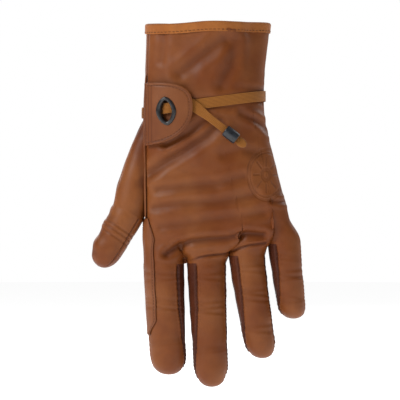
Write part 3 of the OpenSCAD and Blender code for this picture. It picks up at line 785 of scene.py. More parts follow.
class Groups:
    """The shared surface effects, each built once."""

    def __init__(self) -> None:
        """Builds every group."""
        self.leather = self._leather()
        self.roundel = self._roundel()
        self.weave = self._weave()
        self.scuff = self._scuff()

    def _leather(self) -> bpy.types.NodeTree:
        """Pebbled grain, cloudy tone, and painted shade that darkens the creases.

        Returns:
            The group.
        """
        group, n, given, out = new_group(
            "leather_surface",
            {"Vector": V, "Light": C, "Mid": C, "Dark": C, "Crease": F, "Grain Scale": F, "Roughness": F},
            {"Color": C, "Roughness": F, "Height": F})
        vector, crease = given.outputs["Vector"], given.outputs["Crease"]
        cloud = n.remap(n.noise(vector, 26, 3), 0.36, 0.66, 0, 1)
        mottle = n.noise(vector, 190, 3, 0.6)
        grain = {"Vector": vector, "Scale": given.outputs["Grain Scale"]}
        cells = n.add("ShaderNodeTexVoronoi", grain).outputs[0]
        pores = n.noise(vector, 3200, 2)
        # Painted shade: the crease mask, broken up by the mottle, blends the colour towards Dark in folds, seams
        # and other recesses.
        painted_shade = n.add("ShaderNodeMath", {0: crease, 1: n.remap(mottle, 0.3, 0.7, 0.75, 1.1)},
                     operation="MULTIPLY", use_clamp=True).outputs[0]
        colour = n.blend(cloud, given.outputs["Mid"], given.outputs["Light"])
        colour = n.blend(n.math("MULTIPLY", painted_shade, 0.78), colour, given.outputs["Dark"])
        shade = n.math("MULTIPLY", n.remap(mottle, 0.25, 0.75, 0.93, 1.07),
                       n.remap(cells, 0.0, 0.8, 0.97, 1.03))
        colour = n.add("ShaderNodeVectorMath", {0: colour, "Scale": shade}, operation="SCALE").outputs[0]
        rough = n.math("ADD", n.remap(mottle, 0.3, 0.7, -0.05, 0.06), given.outputs["Roughness"])
        rough = n.math("ADD", rough, n.math("MULTIPLY", crease, 0.12))
        height = n.math("ADD", n.math("MULTIPLY", cells, 0.5), n.math("MULTIPLY", pores, 0.35))
        height = n.math("ADD", height, n.math("MULTIPLY", mottle, 0.9))
        links = ((colour, "Color"), (rough, "Roughness"), (height, "Height"))
        for socket, name in links:
            n.tree.links.new(socket, out.inputs[name])
        return group

    def _roundel(self) -> bpy.types.NodeTree:
        """A plain pressed roundel: two rims and eight rays about a centre in x and z.

        Returns:
            The group.
        """
        group, n, given, out = new_group(
            "pressed_roundel", {"Vector": V, "Centre X": F, "Centre Z": F, "Half Width": F, "Half Height": F},
            {"Mask": F, "Inside": F})
        parts = n.add("ShaderNodeSeparateXYZ", {0: given.outputs["Vector"]}).outputs
        across = n.math("SUBTRACT", parts[0], given.outputs["Centre X"])
        upward = n.math("SUBTRACT", parts[2], given.outputs["Centre Z"])
        x = n.math("DIVIDE", across, given.outputs["Half Width"])
        z = n.math("DIVIDE", upward, given.outputs["Half Height"])
        r = n.math("SQRT", n.math("ADD", n.math("MULTIPLY", x, x), n.math("MULTIPLY", z, z)))
        lines = []
        for radius, width in ((0.96, 0.035), (0.84, 0.022), (0.2, 0.05)):
            away = n.math("ABSOLUTE", n.math("SUBTRACT", r, radius))
            lines.append(n.remap(away, width, width * 2.4, 1, 0))
        turn = n.math("ARCTAN2", z, x)
        ray = n.math("ABSOLUTE", n.math("SINE", n.math("MULTIPLY", turn, 4.0)))
        wide = n.math("MULTIPLY", ray, r)
        ray = n.math("MULTIPLY", n.remap(wide, 0.09, 0.2, 1, 0), n.remap(r, 0.3, 0.36, 0, 1))
        lines.append(n.math("MULTIPLY", ray, n.remap(r, 0.66, 0.72, 1, 0)))
        front = n.remap(parts[1], -0.004, -0.001, 1, 0)
        mask = lines[0]
        for line in lines[1:]:
            mask = n.math("MAXIMUM", mask, line)
        n.tree.links.new(n.math("MULTIPLY", mask, front), out.inputs["Mask"])
        n.tree.links.new(n.math("MULTIPLY", n.remap(r, 0.99, 1.02, 1, 0), front), out.inputs["Inside"])
        return group

    def _weave(self) -> bpy.types.NodeTree:
        """Flat woven tape: ribs along it, broken by picks that step from rib to rib.

        Returns:
            The group.
        """
        group, n, given, out = new_group(
            "woven_ribs", {"Vector": V, "Rib": F, "Pick": F, "Light": C, "Dark": C},
            {"Color": C, "Roughness": F, "Height": F})
        parts = n.add("ShaderNodeSeparateXYZ", {0: given.outputs["Vector"]}).outputs
        across = n.math("DIVIDE", parts[1], given.outputs["Rib"])
        row = n.math("FLOOR", across)
        along = n.math("ADD", n.math("DIVIDE", parts[0], given.outputs["Pick"]), n.math("MULTIPLY", row, 0.5))
        dome = [n.math("ABSOLUTE", n.math("SINE", n.math("MULTIPLY", v, math.pi))) for v in (across, along)]
        height = n.math("MULTIPLY", n.math("POWER", dome[0], 0.6), n.remap(dome[1], 0, 0.7, 0.45, 1))
        fuzz = n.noise(given.outputs["Vector"], 2600, 3, 0.7)
        # The colour follows the ribs' height: painted shade in the grooves between ribs and picks, lighter tops.
        lit = n.math("MULTIPLY", height, n.remap(fuzz, 0.3, 0.7, 0.75, 1.1), clamp=True)
        n.tree.links.new(n.blend(lit, given.outputs["Dark"], given.outputs["Light"]), out.inputs["Color"])
        n.tree.links.new(n.remap(fuzz, 0.3, 0.7, 0.7, 0.9), out.inputs["Roughness"])
        n.tree.links.new(n.math("ADD", height, n.math("MULTIPLY", fuzz, 0.3)), out.inputs["Height"])
        return group

    def _scuff(self) -> bpy.types.NodeTree:
        """Faint cloudy wear and fine scratches on moulded plastic.

        Returns:
            The group.
        """
        group, n, given, out = new_group(
            "moulded_wear", {"Vector": V, "Light": C, "Dark": C}, {"Color": C, "Roughness": F, "Height": F})
        cloud = n.noise(given.outputs["Vector"], 350, 4, 0.6)
        fine = n.noise(given.outputs["Vector"], 2400, 2)
        n.tree.links.new(n.blend(n.remap(cloud, 0.4, 0.72, 0, 1), given.outputs["Dark"], given.outputs["Light"]),
                         out.inputs["Color"])
        n.tree.links.new(n.remap(cloud, 0.35, 0.7, 0.26, 0.42), out.inputs["Roughness"])
        n.tree.links.new(fine, out.inputs["Height"])
        return group


@dataclass(frozen=True)
class LeatherFinish:
    """Smooth glove leather in three tones."""

    name: str
    light: tuple
    mid: tuple
    dark: tuple
    rough: float = 0.5
    grain: float = 1300.0
    bump: float = 0.35
    coat: float = 0.02
    sheen: float = 0.0
    pressed: bool = False

    def build(self, groups: Groups) -> bpy.types.Material:
        """Builds the material, with a pressed roundel where the finish has one.

        Args:
            groups: The shared effects.

        Returns:
            The material.
        """
        mat = bpy.data.materials.new(self.name)
        mat.use_nodes = True
        n = Nodes(mat.node_tree)
        shader = mat.node_tree.nodes["Principled BSDF"]
        place = n.add("ShaderNodeTexCoord").outputs["Object"]
        crease = n.add("ShaderNodeAttribute", attribute_name="crease").outputs["Fac"]
        surface = n.add("ShaderNodeGroup", node_tree=groups.leather)
        values = {"Light": self.light, "Mid": self.mid, "Dark": self.dark, "Grain Scale": self.grain,
                  "Roughness": self.rough}
        for key, value in values.items():
            surface.inputs[key].default_value = value
        n.tree.links.new(place, surface.inputs["Vector"])
        height, colour = surface.outputs["Height"], surface.outputs["Color"]
        if self.pressed:
            stamp = n.add("ShaderNodeGroup", {"Centre X": 42.3 * MM, "Centre Z": -110.2 * MM, "Half Width": 14 * MM,
                                              "Half Height": 19 * MM, "Vector": place}, node_tree=groups.roundel)
            # The roundel's pressed lines join the crease mask, so they too get painted shade.
            crease = n.math("MAXIMUM", crease, n.math("MULTIPLY", stamp.outputs["Mask"], 0.5))
            height = n.math("SUBTRACT", height, n.math("MULTIPLY", stamp.outputs["Mask"], 6.0))
            lifted = n.math("MULTIPLY", stamp.outputs["Inside"], 0.35)
            colour = n.blend(lifted, colour, self.light)
        n.tree.links.new(crease, surface.inputs["Crease"])
        n.tree.links.new(colour, shader.inputs["Base Color"])
        n.tree.links.new(surface.outputs["Roughness"], shader.inputs["Roughness"])
        bump = n.add("ShaderNodeBump", {"Strength": self.bump, "Distance": 0.16 * MM, "Height": height})
        n.tree.links.new(bump.outputs[0], shader.inputs["Normal"])
        shader.inputs["Specular IOR Level"].default_value = 0.24
        shader.inputs["Coat Weight"].default_value = self.coat
        shader.inputs["Coat Roughness"].default_value = 0.38
        shader.inputs["Sheen Weight"].default_value = self.sheen
        shader.inputs["Sheen Roughness"].default_value = 0.5
        return mat


@dataclass(frozen=True)
class WovenFinish:
    """Woven tape or twisted thread that follows the piece's own UV map."""

    name: str
    light: tuple
    dark: tuple
    rib: float = 0.95 * MM
    pick: float = 0.8 * MM

    def build(self, groups: Groups) -> bpy.types.Material:
        """Builds the material from the shared weave.

        Args:
            groups: The shared effects.

        Returns:
            The material.
        """
        mat = bpy.data.materials.new(self.name)
        mat.use_nodes = True
        n = Nodes(mat.node_tree)
        shader = mat.node_tree.nodes["Principled BSDF"]
        place = n.add("ShaderNodeUVMap", uv_map="UVMap").outputs[0]
        cloth = n.add("ShaderNodeGroup", {"Vector": place, "Rib": self.rib, "Pick": self.pick, "Light": self.light,
                                          "Dark": self.dark}, node_tree=groups.weave)
        n.tree.links.new(cloth.outputs["Color"], shader.inputs["Base Color"])
        n.tree.links.new(cloth.outputs["Roughness"], shader.inputs["Roughness"])
        bump = n.add("ShaderNodeBump", {"Strength": 0.8, "Distance": 0.22 * MM, "Height": cloth.outputs["Height"]})
        n.tree.links.new(bump.outputs[0], shader.inputs["Normal"])
        shader.inputs["Specular IOR Level"].default_value = 0.25
        shader.inputs["Sheen Weight"].default_value = 0.12
        return mat


@dataclass(frozen=True)
class PlasticFinish:
    """Glossy moulded plastic."""

    name: str
    light: tuple
    dark: tuple

    def build(self, groups: Groups) -> bpy.types.Material:
        """Builds the material from the shared wear.

        Args:
            groups: The shared effects.

        Returns:
            The material.
        """
        mat = bpy.data.materials.new(self.name)
        mat.use_nodes = True
        n = Nodes(mat.node_tree)
        shader = mat.node_tree.nodes["Principled BSDF"]
        place = n.add("ShaderNodeTexCoord").outputs["Object"]
        wear = n.add("ShaderNodeGroup", {"Vector": place, "Light": self.light, "Dark": self.dark},
                     node_tree=groups.scuff)
        n.tree.links.new(wear.outputs["Color"], shader.inputs["Base Color"])
        n.tree.links.new(wear.outputs["Roughness"], shader.inputs["Roughness"])
        bump = n.add("ShaderNodeBump", {"Strength": 0.12, "Distance": 0.05 * MM, "Height": wear.outputs["Height"]})
        n.tree.links.new(bump.outputs[0], shader.inputs["Normal"])
        shader.inputs["Coat Weight"].default_value = 0.12
        shader.inputs["Coat Roughness"].default_value = 0.15
        return mat


class Wardrobe:
    """Every finish of the glove, as ready materials."""

    def __init__(self) -> None:
        """Builds the groups and the materials."""
        g = Groups()
        # dark is the painted shade colour that each leather blends towards in its creases.
        light, mid, dark = tone(124, 70, 30), tone(105, 50, 9), tone(60, 20, 2)
        self.back = LeatherFinish("back_leather", light, mid, dark, pressed=True).build(g)
        self.palm = LeatherFinish("palm_leather", tone(118, 67, 33), tone(100, 48, 14), dark, rough=0.54).build(g)
        # The side strips' leather is far darker than the back's: painted shade on the finger sides.
        self.side = LeatherFinish("side_leather", tone(82, 36, 12), tone(66, 26, 7), dark, rough=0.58).build(g)
        self.patch = LeatherFinish("patch_leather", tone(126, 75, 42), tone(107, 56, 23), dark, rough=0.5).build(g)
        self.binding = LeatherFinish("binding_leather", tone(158, 97, 44), tone(138, 76, 26), tone(88, 40, 10),
                                     rough=0.8, grain=2600, bump=0.6, coat=0.0, sheen=0.1).build(g)
        self.tab = LeatherFinish("tab_leather", tone(122, 71, 36), tone(104, 53, 19), dark, rough=0.5).build(g)
        self.lining = LeatherFinish("lining_leather", tone(112, 68, 38), tone(92, 50, 24), dark, rough=0.85,
                                    grain=2200, bump=0.7, coat=0.0, sheen=0.15).build(g)
        self.tape = WovenFinish("woven_tape", tone(158, 100, 34), tone(92, 46, 10)).build(g)
        self.thread = WovenFinish("thread", tone(136, 84, 44), tone(84, 42, 16), rib=0.3 * MM,
                                  pick=0.4 * MM).build(g)
        self.bead = PlasticFinish("bead_plastic", tone(30, 36, 44), tone(12, 14, 19)).build(g)
        self.eyelet = PlasticFinish("eyelet_plastic", tone(26, 22, 24), tone(10, 8, 9)).build(g)


def dress(obj: bpy.types.Object, material: bpy.types.Material,
          nodes: tuple = ()) -> bpy.types.Object:
    """Gives a piece its material, hides the CAD nodes that it stands for and logs its face count."""
    obj.data.materials.append(material)
    if nodes:
        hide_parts(*nodes)
    faces = len(obj.data.polygons)
    log.info("%s: %d faces", obj.name, faces)
    return obj


# ---------------------------------------------------------------- sub-assemblies


def relax(p: np.ndarray) -> np.ndarray:
    """How the soft cuff stands off its smooth oval.

    Args:
        p: Points.

    Returns:
        The points with a low wave up and down its rim, a wave in and out, and a dent at the back
        of the right edge, all fading out down the cuff.
    """
    turn = np.arctan2(p[..., 1], p[..., 0])
    free = ease(-46 * MM, -3 * MM, p[..., 2])
    rise = 1.1 * MM * np.sin(2 * turn + 2.6) + 0.9 * MM * np.sin(3 * turn + 0.4)
    dent = 4.6 * MM * bell(turn + math.radians(24), math.radians(15)) - 1.0 * MM * bell(turn - 0.2, 0.35)
    swing = 0.9 * MM * np.sin(4 * turn + 0.7)
    out = (swing - dent) * free
    return p + np.stack([out * np.cos(turn), out * np.sin(turn), rise * free], -1)


@dataclass
class Hand:
    """The back, the palm, the thumb's root, the piping and the hand's part of the patch."""

    shape: GloveShape
    relief: Relief
    rows: int = 290
    per_finger: int = 36
    grids: dict = field(default_factory=dict)

    def surface(self, side: Side) -> tuple:
        """The outer grid, its normals and the crease mask of one side.

        Args:
            side: Back or palm.

        Returns:
            The outer grid, its normals and the crease mask of one side.
        """
        if side not in self.grids:
            p, v = self.shape.hand(side, self.rows, self.per_finger)
            n = normals_of(p) * (1 if side is Side.BACK else -1)
            n *= np.sign(np.sum(n[40:60, 40:80, 1]) * side.value)
            push, crease = self.relief.hand(p, v, side)
            p = relax(p + n * push[..., None])
            self.grids[side] = (p, n, crease)
        return self.grids[side]

    def panels(self, kit: Wardrobe) -> None:
        """Builds the back and palm panels."""
        for side, material, slot, node in ((Side.BACK, kit.back, "back_leather", "back_panel"),
                                           (Side.PALM, kit.palm, "palm_leather", "palm_panel")):
            p, n, crease = self.surface(side)
            obj = shell(f"{node}_skin", p, p - n * self.shape.leather, crease)
            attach(dress(obj, material, (node,)), "hand")

    def thumb_root(self, kit: Wardrobe) -> None:
        """Builds the swelling that carries the thumb, in a back and a palm half.

        Args:
            kit: The finishes.
        """
        for side, material, slot, node in ((Side.BACK, kit.back, "back_leather", "thumb_root_back"),
                                           (Side.PALM, kit.palm, "palm_leather", "thumb_root_palm")):
            t = np.linspace(-0.25, 1, 100)[:, None]
            a = side.value * np.linspace(0, math.pi, 110)[None, :]
            p = self.shape.thumb_root(*np.broadcast_arrays(t, a))
            n = normals_of(p)
            n *= np.sign(np.sum(n[..., 1]) * side.value)
            fade = ease(1.0, 0.9, t) * np.ones_like(a)
            wave = ripple(p[..., 0], p[..., 2], 31 + side.value, 22 * MM)
            scallop = np.sin(p[..., 2] / (3.3 * MM)) * ease(0.55, 1, -np.cos(a)) * ease(0.35, 0.8, t)
            push = (0.5 * MM * wave + 0.35 * MM * scallop) * fade
            # Painted shade near the root and in the ripple's hollows.
            crease = np.clip(0.4 * bell(t - 0.12, 0.12) + 0.35 * ease(0.15, 0.5, -wave), 0, 1)
            push = push[..., None]
            obj = shell(f"{node}_skin", p + n * push, p + n * (push - self.shape.leather), crease)
            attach(dress(obj, material, (node,)), "hand")

    def piping(self, kit: Wardrobe) -> None:
        """Builds the piping in the side seam: a tube of circles along the seam's line.

        Args:
            kit: The finishes.
        """
        end = self.shape.web[1] / self.shape.root_z
        v = np.linspace(0.21, end - 0.012, 120)[:, None]
        z = mix(self.shape.top, self.shape.root_z, v)
        a = math.pi + self.shape.seam_angle(v) - 0.01
        core = self.shape.oval(z, a, 0.9 * MM)
        far = self.shape.oval(z, a, 4 * MM)
        out = (far - core) / np.linalg.norm(far - core, axis=-1, keepdims=True)
        side = np.stack([-out[..., 1], out[..., 0], 0 * out[..., 0]], -1)
        b = np.linspace(0, math.tau, 12, endpoint=False)[None, :, None]
        radius = 0.95 * MM * (0.4 + 0.6 * np.sin(math.pi * np.linspace(0, 1, 120)) ** 0.25)[:, None, None]
        obj = ring("side_welt_tube", core + radius * (np.cos(b) * out + np.sin(b) * side), capped=True)
        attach(dress(obj, kit.patch, ("side_welt",)), "hand")

    def over(self, side: Side, v: np.ndarray, c: np.ndarray, lift: float) -> np.ndarray:
        """Points above the index finger's lobe of one side.

        Args:
            side: Back or palm.
            v: Share down the hand.
            c: Angle from the lobe's thumb side.
            lift: Distance above the leather.

        Returns:
            The panel's grid read between its points, plus lift along its normals.
        """
        p, n, _ = self.surface(side)
        row = np.clip(v, 0, 1) * (self.rows - 1)
        col = np.clip(c / math.pi, 0, 1) * (self.per_finger - 1)
        i, j = np.minimum(row.astype(int), self.rows - 2), np.minimum(col.astype(int), self.per_finger - 2)
        u, w = (row - i)[..., None], (col - j)[..., None]

        def read(g: np.ndarray) -> np.ndarray:
            """Returns a grid read between its points."""
            return mix(mix(g[i, j], g[i, j + 1], w), mix(g[i + 1, j], g[i + 1, j + 1], w), u)

        return read(p) + read(n) * lift

    def patch(self, kit: Wardrobe, index: "Patch") -> None:
        """Builds the hand's part of the patch, with its stitches.

        Args:
            kit: The finishes.
            index: The patch, for its edges and lift.
        """
        start = self.shape.web[1] / self.shape.root_z - 0.01
        v = np.linspace(start, 1, 90)[:, None]
        z = self.shape.root_z * (v[:, 0] - 1)
        low, high = index.edges_above(z)
        a = mix(low[:, None], high[:, None], np.linspace(0, 1, 70)[None, :])
        vv = np.broadcast_to(v, a.shape)
        grids = []
        for lift in (index.lift, index.gap):
            rim = index.rounding(a.shape, lift)
            back = self.over(Side.BACK, vv, np.clip(a - math.pi, 0, None), 0)
            palm = self.over(Side.PALM, vv, np.clip(math.pi - a, 0, None), 0)
            back_n = self.over(Side.BACK, vv, np.clip(a - math.pi, 0, None), 1.0) - back
            palm_n = self.over(Side.PALM, vv, np.clip(math.pi - a, 0, None), 1.0) - palm
            w = ease(math.pi - 0.35, math.pi + 0.35, a)[..., None]
            out = mix(palm_n, back_n, w)
            out /= np.linalg.norm(out, axis=-1, keepdims=True)
            grids.append(np.where(a[..., None] < math.pi, palm, back) + out * rim[..., None])
            normal = out
        obj = shell("patch_hand_skin", grids[0], grids[1], index.painted_shade(a.shape))
        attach(dress(obj, kit.patch, ("patch_hand",)), "hand")
        for name, col in (("back", -4), ("palm", 3)):
            row = stitch_row(f"patch_hand_{name}_stitches", grids[0][2:, col], normal[2:, col],
                             2.1 * MM, 0.17 * MM)
            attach(dress(row, kit.thread), "hand")


@dataclass
class Stall:
    """One finger: its back, palm and side strips, each in two lengths split between the joints."""

    shape: GloveShape
    relief: Relief
    f: int

    @property
    def size(self) -> FingerSize:
        """Sizes of this finger."""
        return self.shape.fingers[self.f]

    @property
    def cut(self) -> float:
        """Where the two lengths meet, a rigid stretch between the joints."""
        return self.size.knuckle - 12 * MM

    def half(self, inner: bool, palm: bool, s: Values) -> np.ndarray:
        """Returns the half angle of a side strip at s, nothing on the hand's outer sides."""
        front = self.size.front_in if inner else self.size.front_out
        if not front:
            return np.zeros_like(s)
        q = np.clip(s / self.size.length, 0, 1)
        return math.radians(34 if palm else front) * np.maximum(1 - q**2.5, 0.04)

    def edges(self, part: Part, s: np.ndarray) -> tuple:
        """Returns the two angles that bound a piece at each s."""
        if part is Part.BACK:
            return math.pi + self.half(True, False, s), math.tau - self.half(False, False, s)
        if part is Part.PALM:
            return self.half(False, True, s), math.pi - self.half(True, True, s)
        if part is Part.THUMB_STRIP:
            return math.pi - self.half(True, True, s), math.pi + self.half(True, False, s)
        return -self.half(False, False, s), self.half(False, True, s)

    def stations(self) -> np.ndarray:
        """Returns rows from root to tip, with one on the cut and closer ones round the tip."""
        length, cut = self.size.length, self.cut
        base = np.linspace(0, cut, max(int(cut / (0.5 * MM)), 8))
        body = np.linspace(cut, 0.8 * length, int((0.8 * length - cut) / (0.5 * MM)))[1:]
        turn = np.linspace(0, math.pi / 2, 46)[1:]
        return np.concatenate([base, body, length * (0.8 + 0.2 * np.sin(turn))])

    def surface(self, part: Part) -> tuple:
        """The outer grid, inner grid, crease mask and rows of one piece.

        Args:
            part: Which of the finger's pieces.

        Returns:
            The outer grid, inner grid, crease mask and rows of one piece.
        """
        s = self.stations()[:, None]
        low, high = self.edges(part, s)
        cols = {Part.BACK: 64, Part.PALM: 72}.get(part, 44)
        a = mix(low, high, np.linspace(0, 1, cols)[None, :])
        s = np.broadcast_to(s, a.shape)
        p = self.shape.finger(self.f, s, a)
        n = p - self.shape.finger(self.f, s, a, -1 * MM)
        n = n / np.linalg.norm(n, axis=-1, keepdims=True)
        seams = [math.pi + self.half(True, False, s), math.tau - self.half(False, False, s)]
        if self.size.front_in:
            seams.append(math.pi - self.half(True, True, s))
        if self.size.front_out:
            seams.append(self.half(False, True, s))
        push, crease = self.relief.finger(self.f, s, a, seams)
        outer = p + n * push[..., None]
        inner = self.shape.finger(self.f, s, a, -self.shape.leather) + n * push[..., None]
        return outer, inner, crease, s[:, 0]

    def build(self, kit: Wardrobe) -> None:
        """Builds every piece of the finger, each in two lengths.

        Args:
            kit: The finishes.
        """
        name, z = self.size.name, self.shape.finger_z(self.f)
        x, k = self.shape.centre(self.f), self.size.knuckle
        strips = {Part.THUMB_STRIP: bool(self.size.front_in), Part.OUTER_STRIP: bool(self.size.front_out)}
        both = all(strips.values())
        for part in Part:
            if not strips.get(part, True):
                continue
            label = part.value if both or part not in strips else "strip"
            # Side strips take the darker side leather, whose colour is painted shade.
            material, slot = {Part.BACK: (kit.back, "back_leather"), Part.PALM: (kit.palm, "palm_leather")}.get(
                part, (kit.side, "side_leather"))
            outer, inner, crease, s = self.surface(part)
            cut = int(np.argmin(np.abs(s - self.cut)))
            spans = ((slice(0, cut + 1), "base", "hand", 0.0, k - 14 * MM),
                     (slice(cut, None), "end", f"{name}_base", k - 10 * MM, k + 10 * MM))
            for rows, length, above, start, end in spans:
                node = f"{name}_{label}_{length}"
                obj = shell(f"{node}_skin", outer[rows], inner[rows], crease[rows])
                dress(obj, material, (node,))
                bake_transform(obj)


@dataclass
class Patch:
    """The reinforcement along the index finger's outer side."""

    shape: GloveShape
    relief: Relief
    reach: float = 52 * MM
    lift: float = 1.15 * MM
    gap: float = 0.25 * MM

    def edges_above(self, z: np.ndarray) -> tuple:
        """Returns the palm and back edges as angles, z above the finger's root."""
        high = np.interp(-z, [-39 * MM, -30 * MM, -18 * MM, 0], [186, 205, 237, 240])
        low = np.interp(-z, [-39 * MM, -30 * MM, -18 * MM, 0], [174, 155, 118, 100])
        return np.radians(low), np.radians(high)

    def edges(self, s: np.ndarray) -> tuple:
        """Returns the palm and back edges at s, drawn in towards the patch's round end."""
        end = ease(self.reach - 12 * MM, self.reach, s)
        return np.radians(mix(100, 128, end)), np.radians(mix(240, 209, end))

    def rounding(self, shape: tuple, lift: float) -> np.ndarray:
        """Returns the lift over a grid, lower by 0.25 mm along its two long edges."""
        cols = np.linspace(0, 1, shape[1])[None, :] * np.ones((shape[0], 1))
        edge = np.maximum(bell(cols, 0.025), bell(1 - cols, 0.025))
        sewn = bell(cols - 4 / shape[1], 0.016) + bell(1 - cols - 4 / shape[1], 0.016)
        drop = 0.25 * MM if lift > 0.6 * MM else 0.0
        return lift - drop * edge - 0.8 * drop * sewn

    def painted_shade(self, shape: tuple) -> np.ndarray:
        """Returns a mask of painted shade at the long edges and along the stitched line just inside them."""
        cols = np.linspace(0, 1, shape[1])[None, :] * np.ones((shape[0], 1))
        edge = np.maximum(bell(cols, 0.012), bell(1 - cols, 0.012))
        return 0.9 * edge + 0.4 * (bell(cols - 4 / shape[1], 0.014) + bell(1 - cols - 4 / shape[1], 0.014))

    def surface(self) -> tuple:
        """The outer grid, inner grid, normals and rows of the finger's part.

        Returns:
            The outer grid, inner grid, normals and rows of the finger's part.
        """
        split = self.shape.fingers[0].knuckle - 12 * MM
        s = np.unique(np.concatenate([np.linspace(0, self.reach, 110), [split]]))
        low, high = self.edges(s)
        a = mix(low[:, None], high[:, None], np.linspace(0, 1, 70)[None, :])
        ss = np.broadcast_to(s[:, None], a.shape)
        p = self.shape.finger(0, ss, a)
        n = p - self.shape.finger(0, ss, a, -1 * MM)
        n = n / np.linalg.norm(n, axis=-1, keepdims=True)
        push, crease = self.relief.finger(0, ss, a, [])
        close = 0.3 * MM * ease(self.reach - 1.2 * MM, self.reach, ss)
        outer = p + n * (push + self.rounding(a.shape, self.lift) - close)[..., None]
        # The mask paints shade along the finger's creases and the patch's edges.
        return outer, p + n * (push + self.gap)[..., None], n, 0.6 * crease + self.painted_shade(a.shape), s

    def build(self, kit: Wardrobe) -> None:
        """Builds the patch in two lengths, with stitches near its edges.

        Args:
            kit: The finishes.
        """
        outer, inner, n, crease, s = self.surface()
        k, z, x = self.shape.fingers[0].knuckle, self.shape.root_z, self.shape.centre(0)
        cut = int(np.argmin(np.abs(s - (k - 12 * MM))))
        spans = ((slice(0, cut + 1), "base", "hand", 0.0, k - 14 * MM),
                 (slice(cut, None), "end", "index_base", k - 10 * MM, k + 10 * MM))
        for rows, length, above, start, end in spans:
            pieces = [dress(shell(f"patch_index_{length}_skin", outer[rows], inner[rows], crease[rows]),
                            kit.patch, (f"patch_index_{length}",))]
            for name, col in (("back", -4), ("palm", 3)):
                row = stitch_row(f"patch_index_{length}_{name}_stitches", outer[rows, col], n[rows, col],
                                 2.1 * MM, 0.17 * MM)
                pieces.append(dress(row, kit.thread))
            if length == "end":
                row = stitch_row("patch_index_tip_stitches", outer[-4, 4:-4], n[-4, 4:-4],
                                 2.1 * MM, 0.17 * MM)
                pieces.append(dress(row, kit.thread))
            for obj in pieces:
                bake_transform(obj)


@dataclass
class Thumb:
    """The thumb stall, a back and a palm half."""

    shape: GloveShape
    relief: Relief

    def build(self, kit: Wardrobe) -> None:
        """Builds both halves.

        Args:
            kit: The finishes.
        """
        length = self.shape.thumb_len
        tip = 0.6 + 0.4 * np.sin(np.linspace(0, math.pi / 2, 50)[1:])
        s = np.concatenate([np.linspace(0, 0.6 * length, 60), length * tip])
        for side, material, slot, node in ((Side.BACK, kit.back, "back_leather", "thumb_back"),
                                           (Side.PALM, kit.palm, "palm_leather", "thumb_palm")):
            a = side.value * np.linspace(0, math.pi, 100)[None, :] * np.ones((len(s), 1))
            ss = np.broadcast_to(s[:, None], a.shape)
            p = self.shape.thumb(ss, a)
            n = p - self.shape.thumb(ss, a, -1 * MM)
            n = n / np.linalg.norm(n, axis=-1, keepdims=True)
            push, crease = self.relief.thumb(ss, np.mod(a, math.tau))
            inner = self.shape.thumb(ss, a, -self.shape.leather) + n * push[..., None]
            obj = dress(shell(f"{node}_skin", p + n * push[..., None], inner, crease), material, (node,))
            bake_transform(obj)


@dataclass
class Cuff:
    """The binding folded over the cuff's edge, with its stitches."""

    shape: GloveShape
    height: float = 5.8 * MM
    thick: float = 0.9 * MM

    def build(self, kit: Wardrobe) -> None:
        """Builds the binding: a hooked profile carried round the cuff's oval.

        Args:
            kit: The finishes.
        """
        half = (self.shape.leather + 0.5 * MM) / 2
        t = np.linspace(0, math.pi, 14)
        over = np.stack([half * np.cos(t), half * np.sin(t)], -1)
        grow = half + self.thick
        cap = np.stack([grow * np.cos(t), grow * np.sin(t) * 0.95], -1)
        top = -grow
        leg = np.linspace(0, 1, 9)[:, None]
        outer = np.concatenate([mix(np.array([grow - 0.2 * MM, -self.height]), np.array([grow, 0]), leg)[:-1], cap,
                                mix(np.array([-grow, 0]), np.array([-grow, -self.height + 1 * MM]), leg)[1:]])
        inner = np.concatenate([mix(np.array([-half, -self.height + 1 * MM]), np.array([-half, 0]), leg)[:-1],
                                over[::-1],
                                mix(np.array([half, 0]), np.array([half - 0.2 * MM, -self.height]), leg)[1:]])
        profile = np.concatenate([outer, inner])
        phi = np.linspace(0, math.tau, 300, endpoint=False)[:, None]
        lift = profile[None, :, 0] - self.shape.leather / 2
        wave = 0.12 * MM * np.sin(phi * 61) * bell(profile[None, :, 1] + self.height, 2 * MM)
        z = np.minimum(profile[None, :, 1] + top + 0 * phi, 0)
        p = relax(self.shape.oval(z, phi, lift + wave))
        obj = ring("cuff_binding_strip", p)
        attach(dress(obj, kit.binding, ("cuff_binding",)), "hand")
        turn = np.linspace(0, math.tau, 400)
        sunk = grow - self.shape.leather / 2 - 0.1 * MM
        line = relax(self.shape.oval(np.full(400, top - self.height + 1.3 * MM), turn, sunk))
        out = self.shape.oval(np.zeros(400), turn, 1 * MM) - self.shape.oval(np.zeros(400), turn)
        row = stitch_row("cuff_stitches", line, out, 3.0 * MM, 0.2 * MM)
        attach(dress(row, kit.thread), "hand")


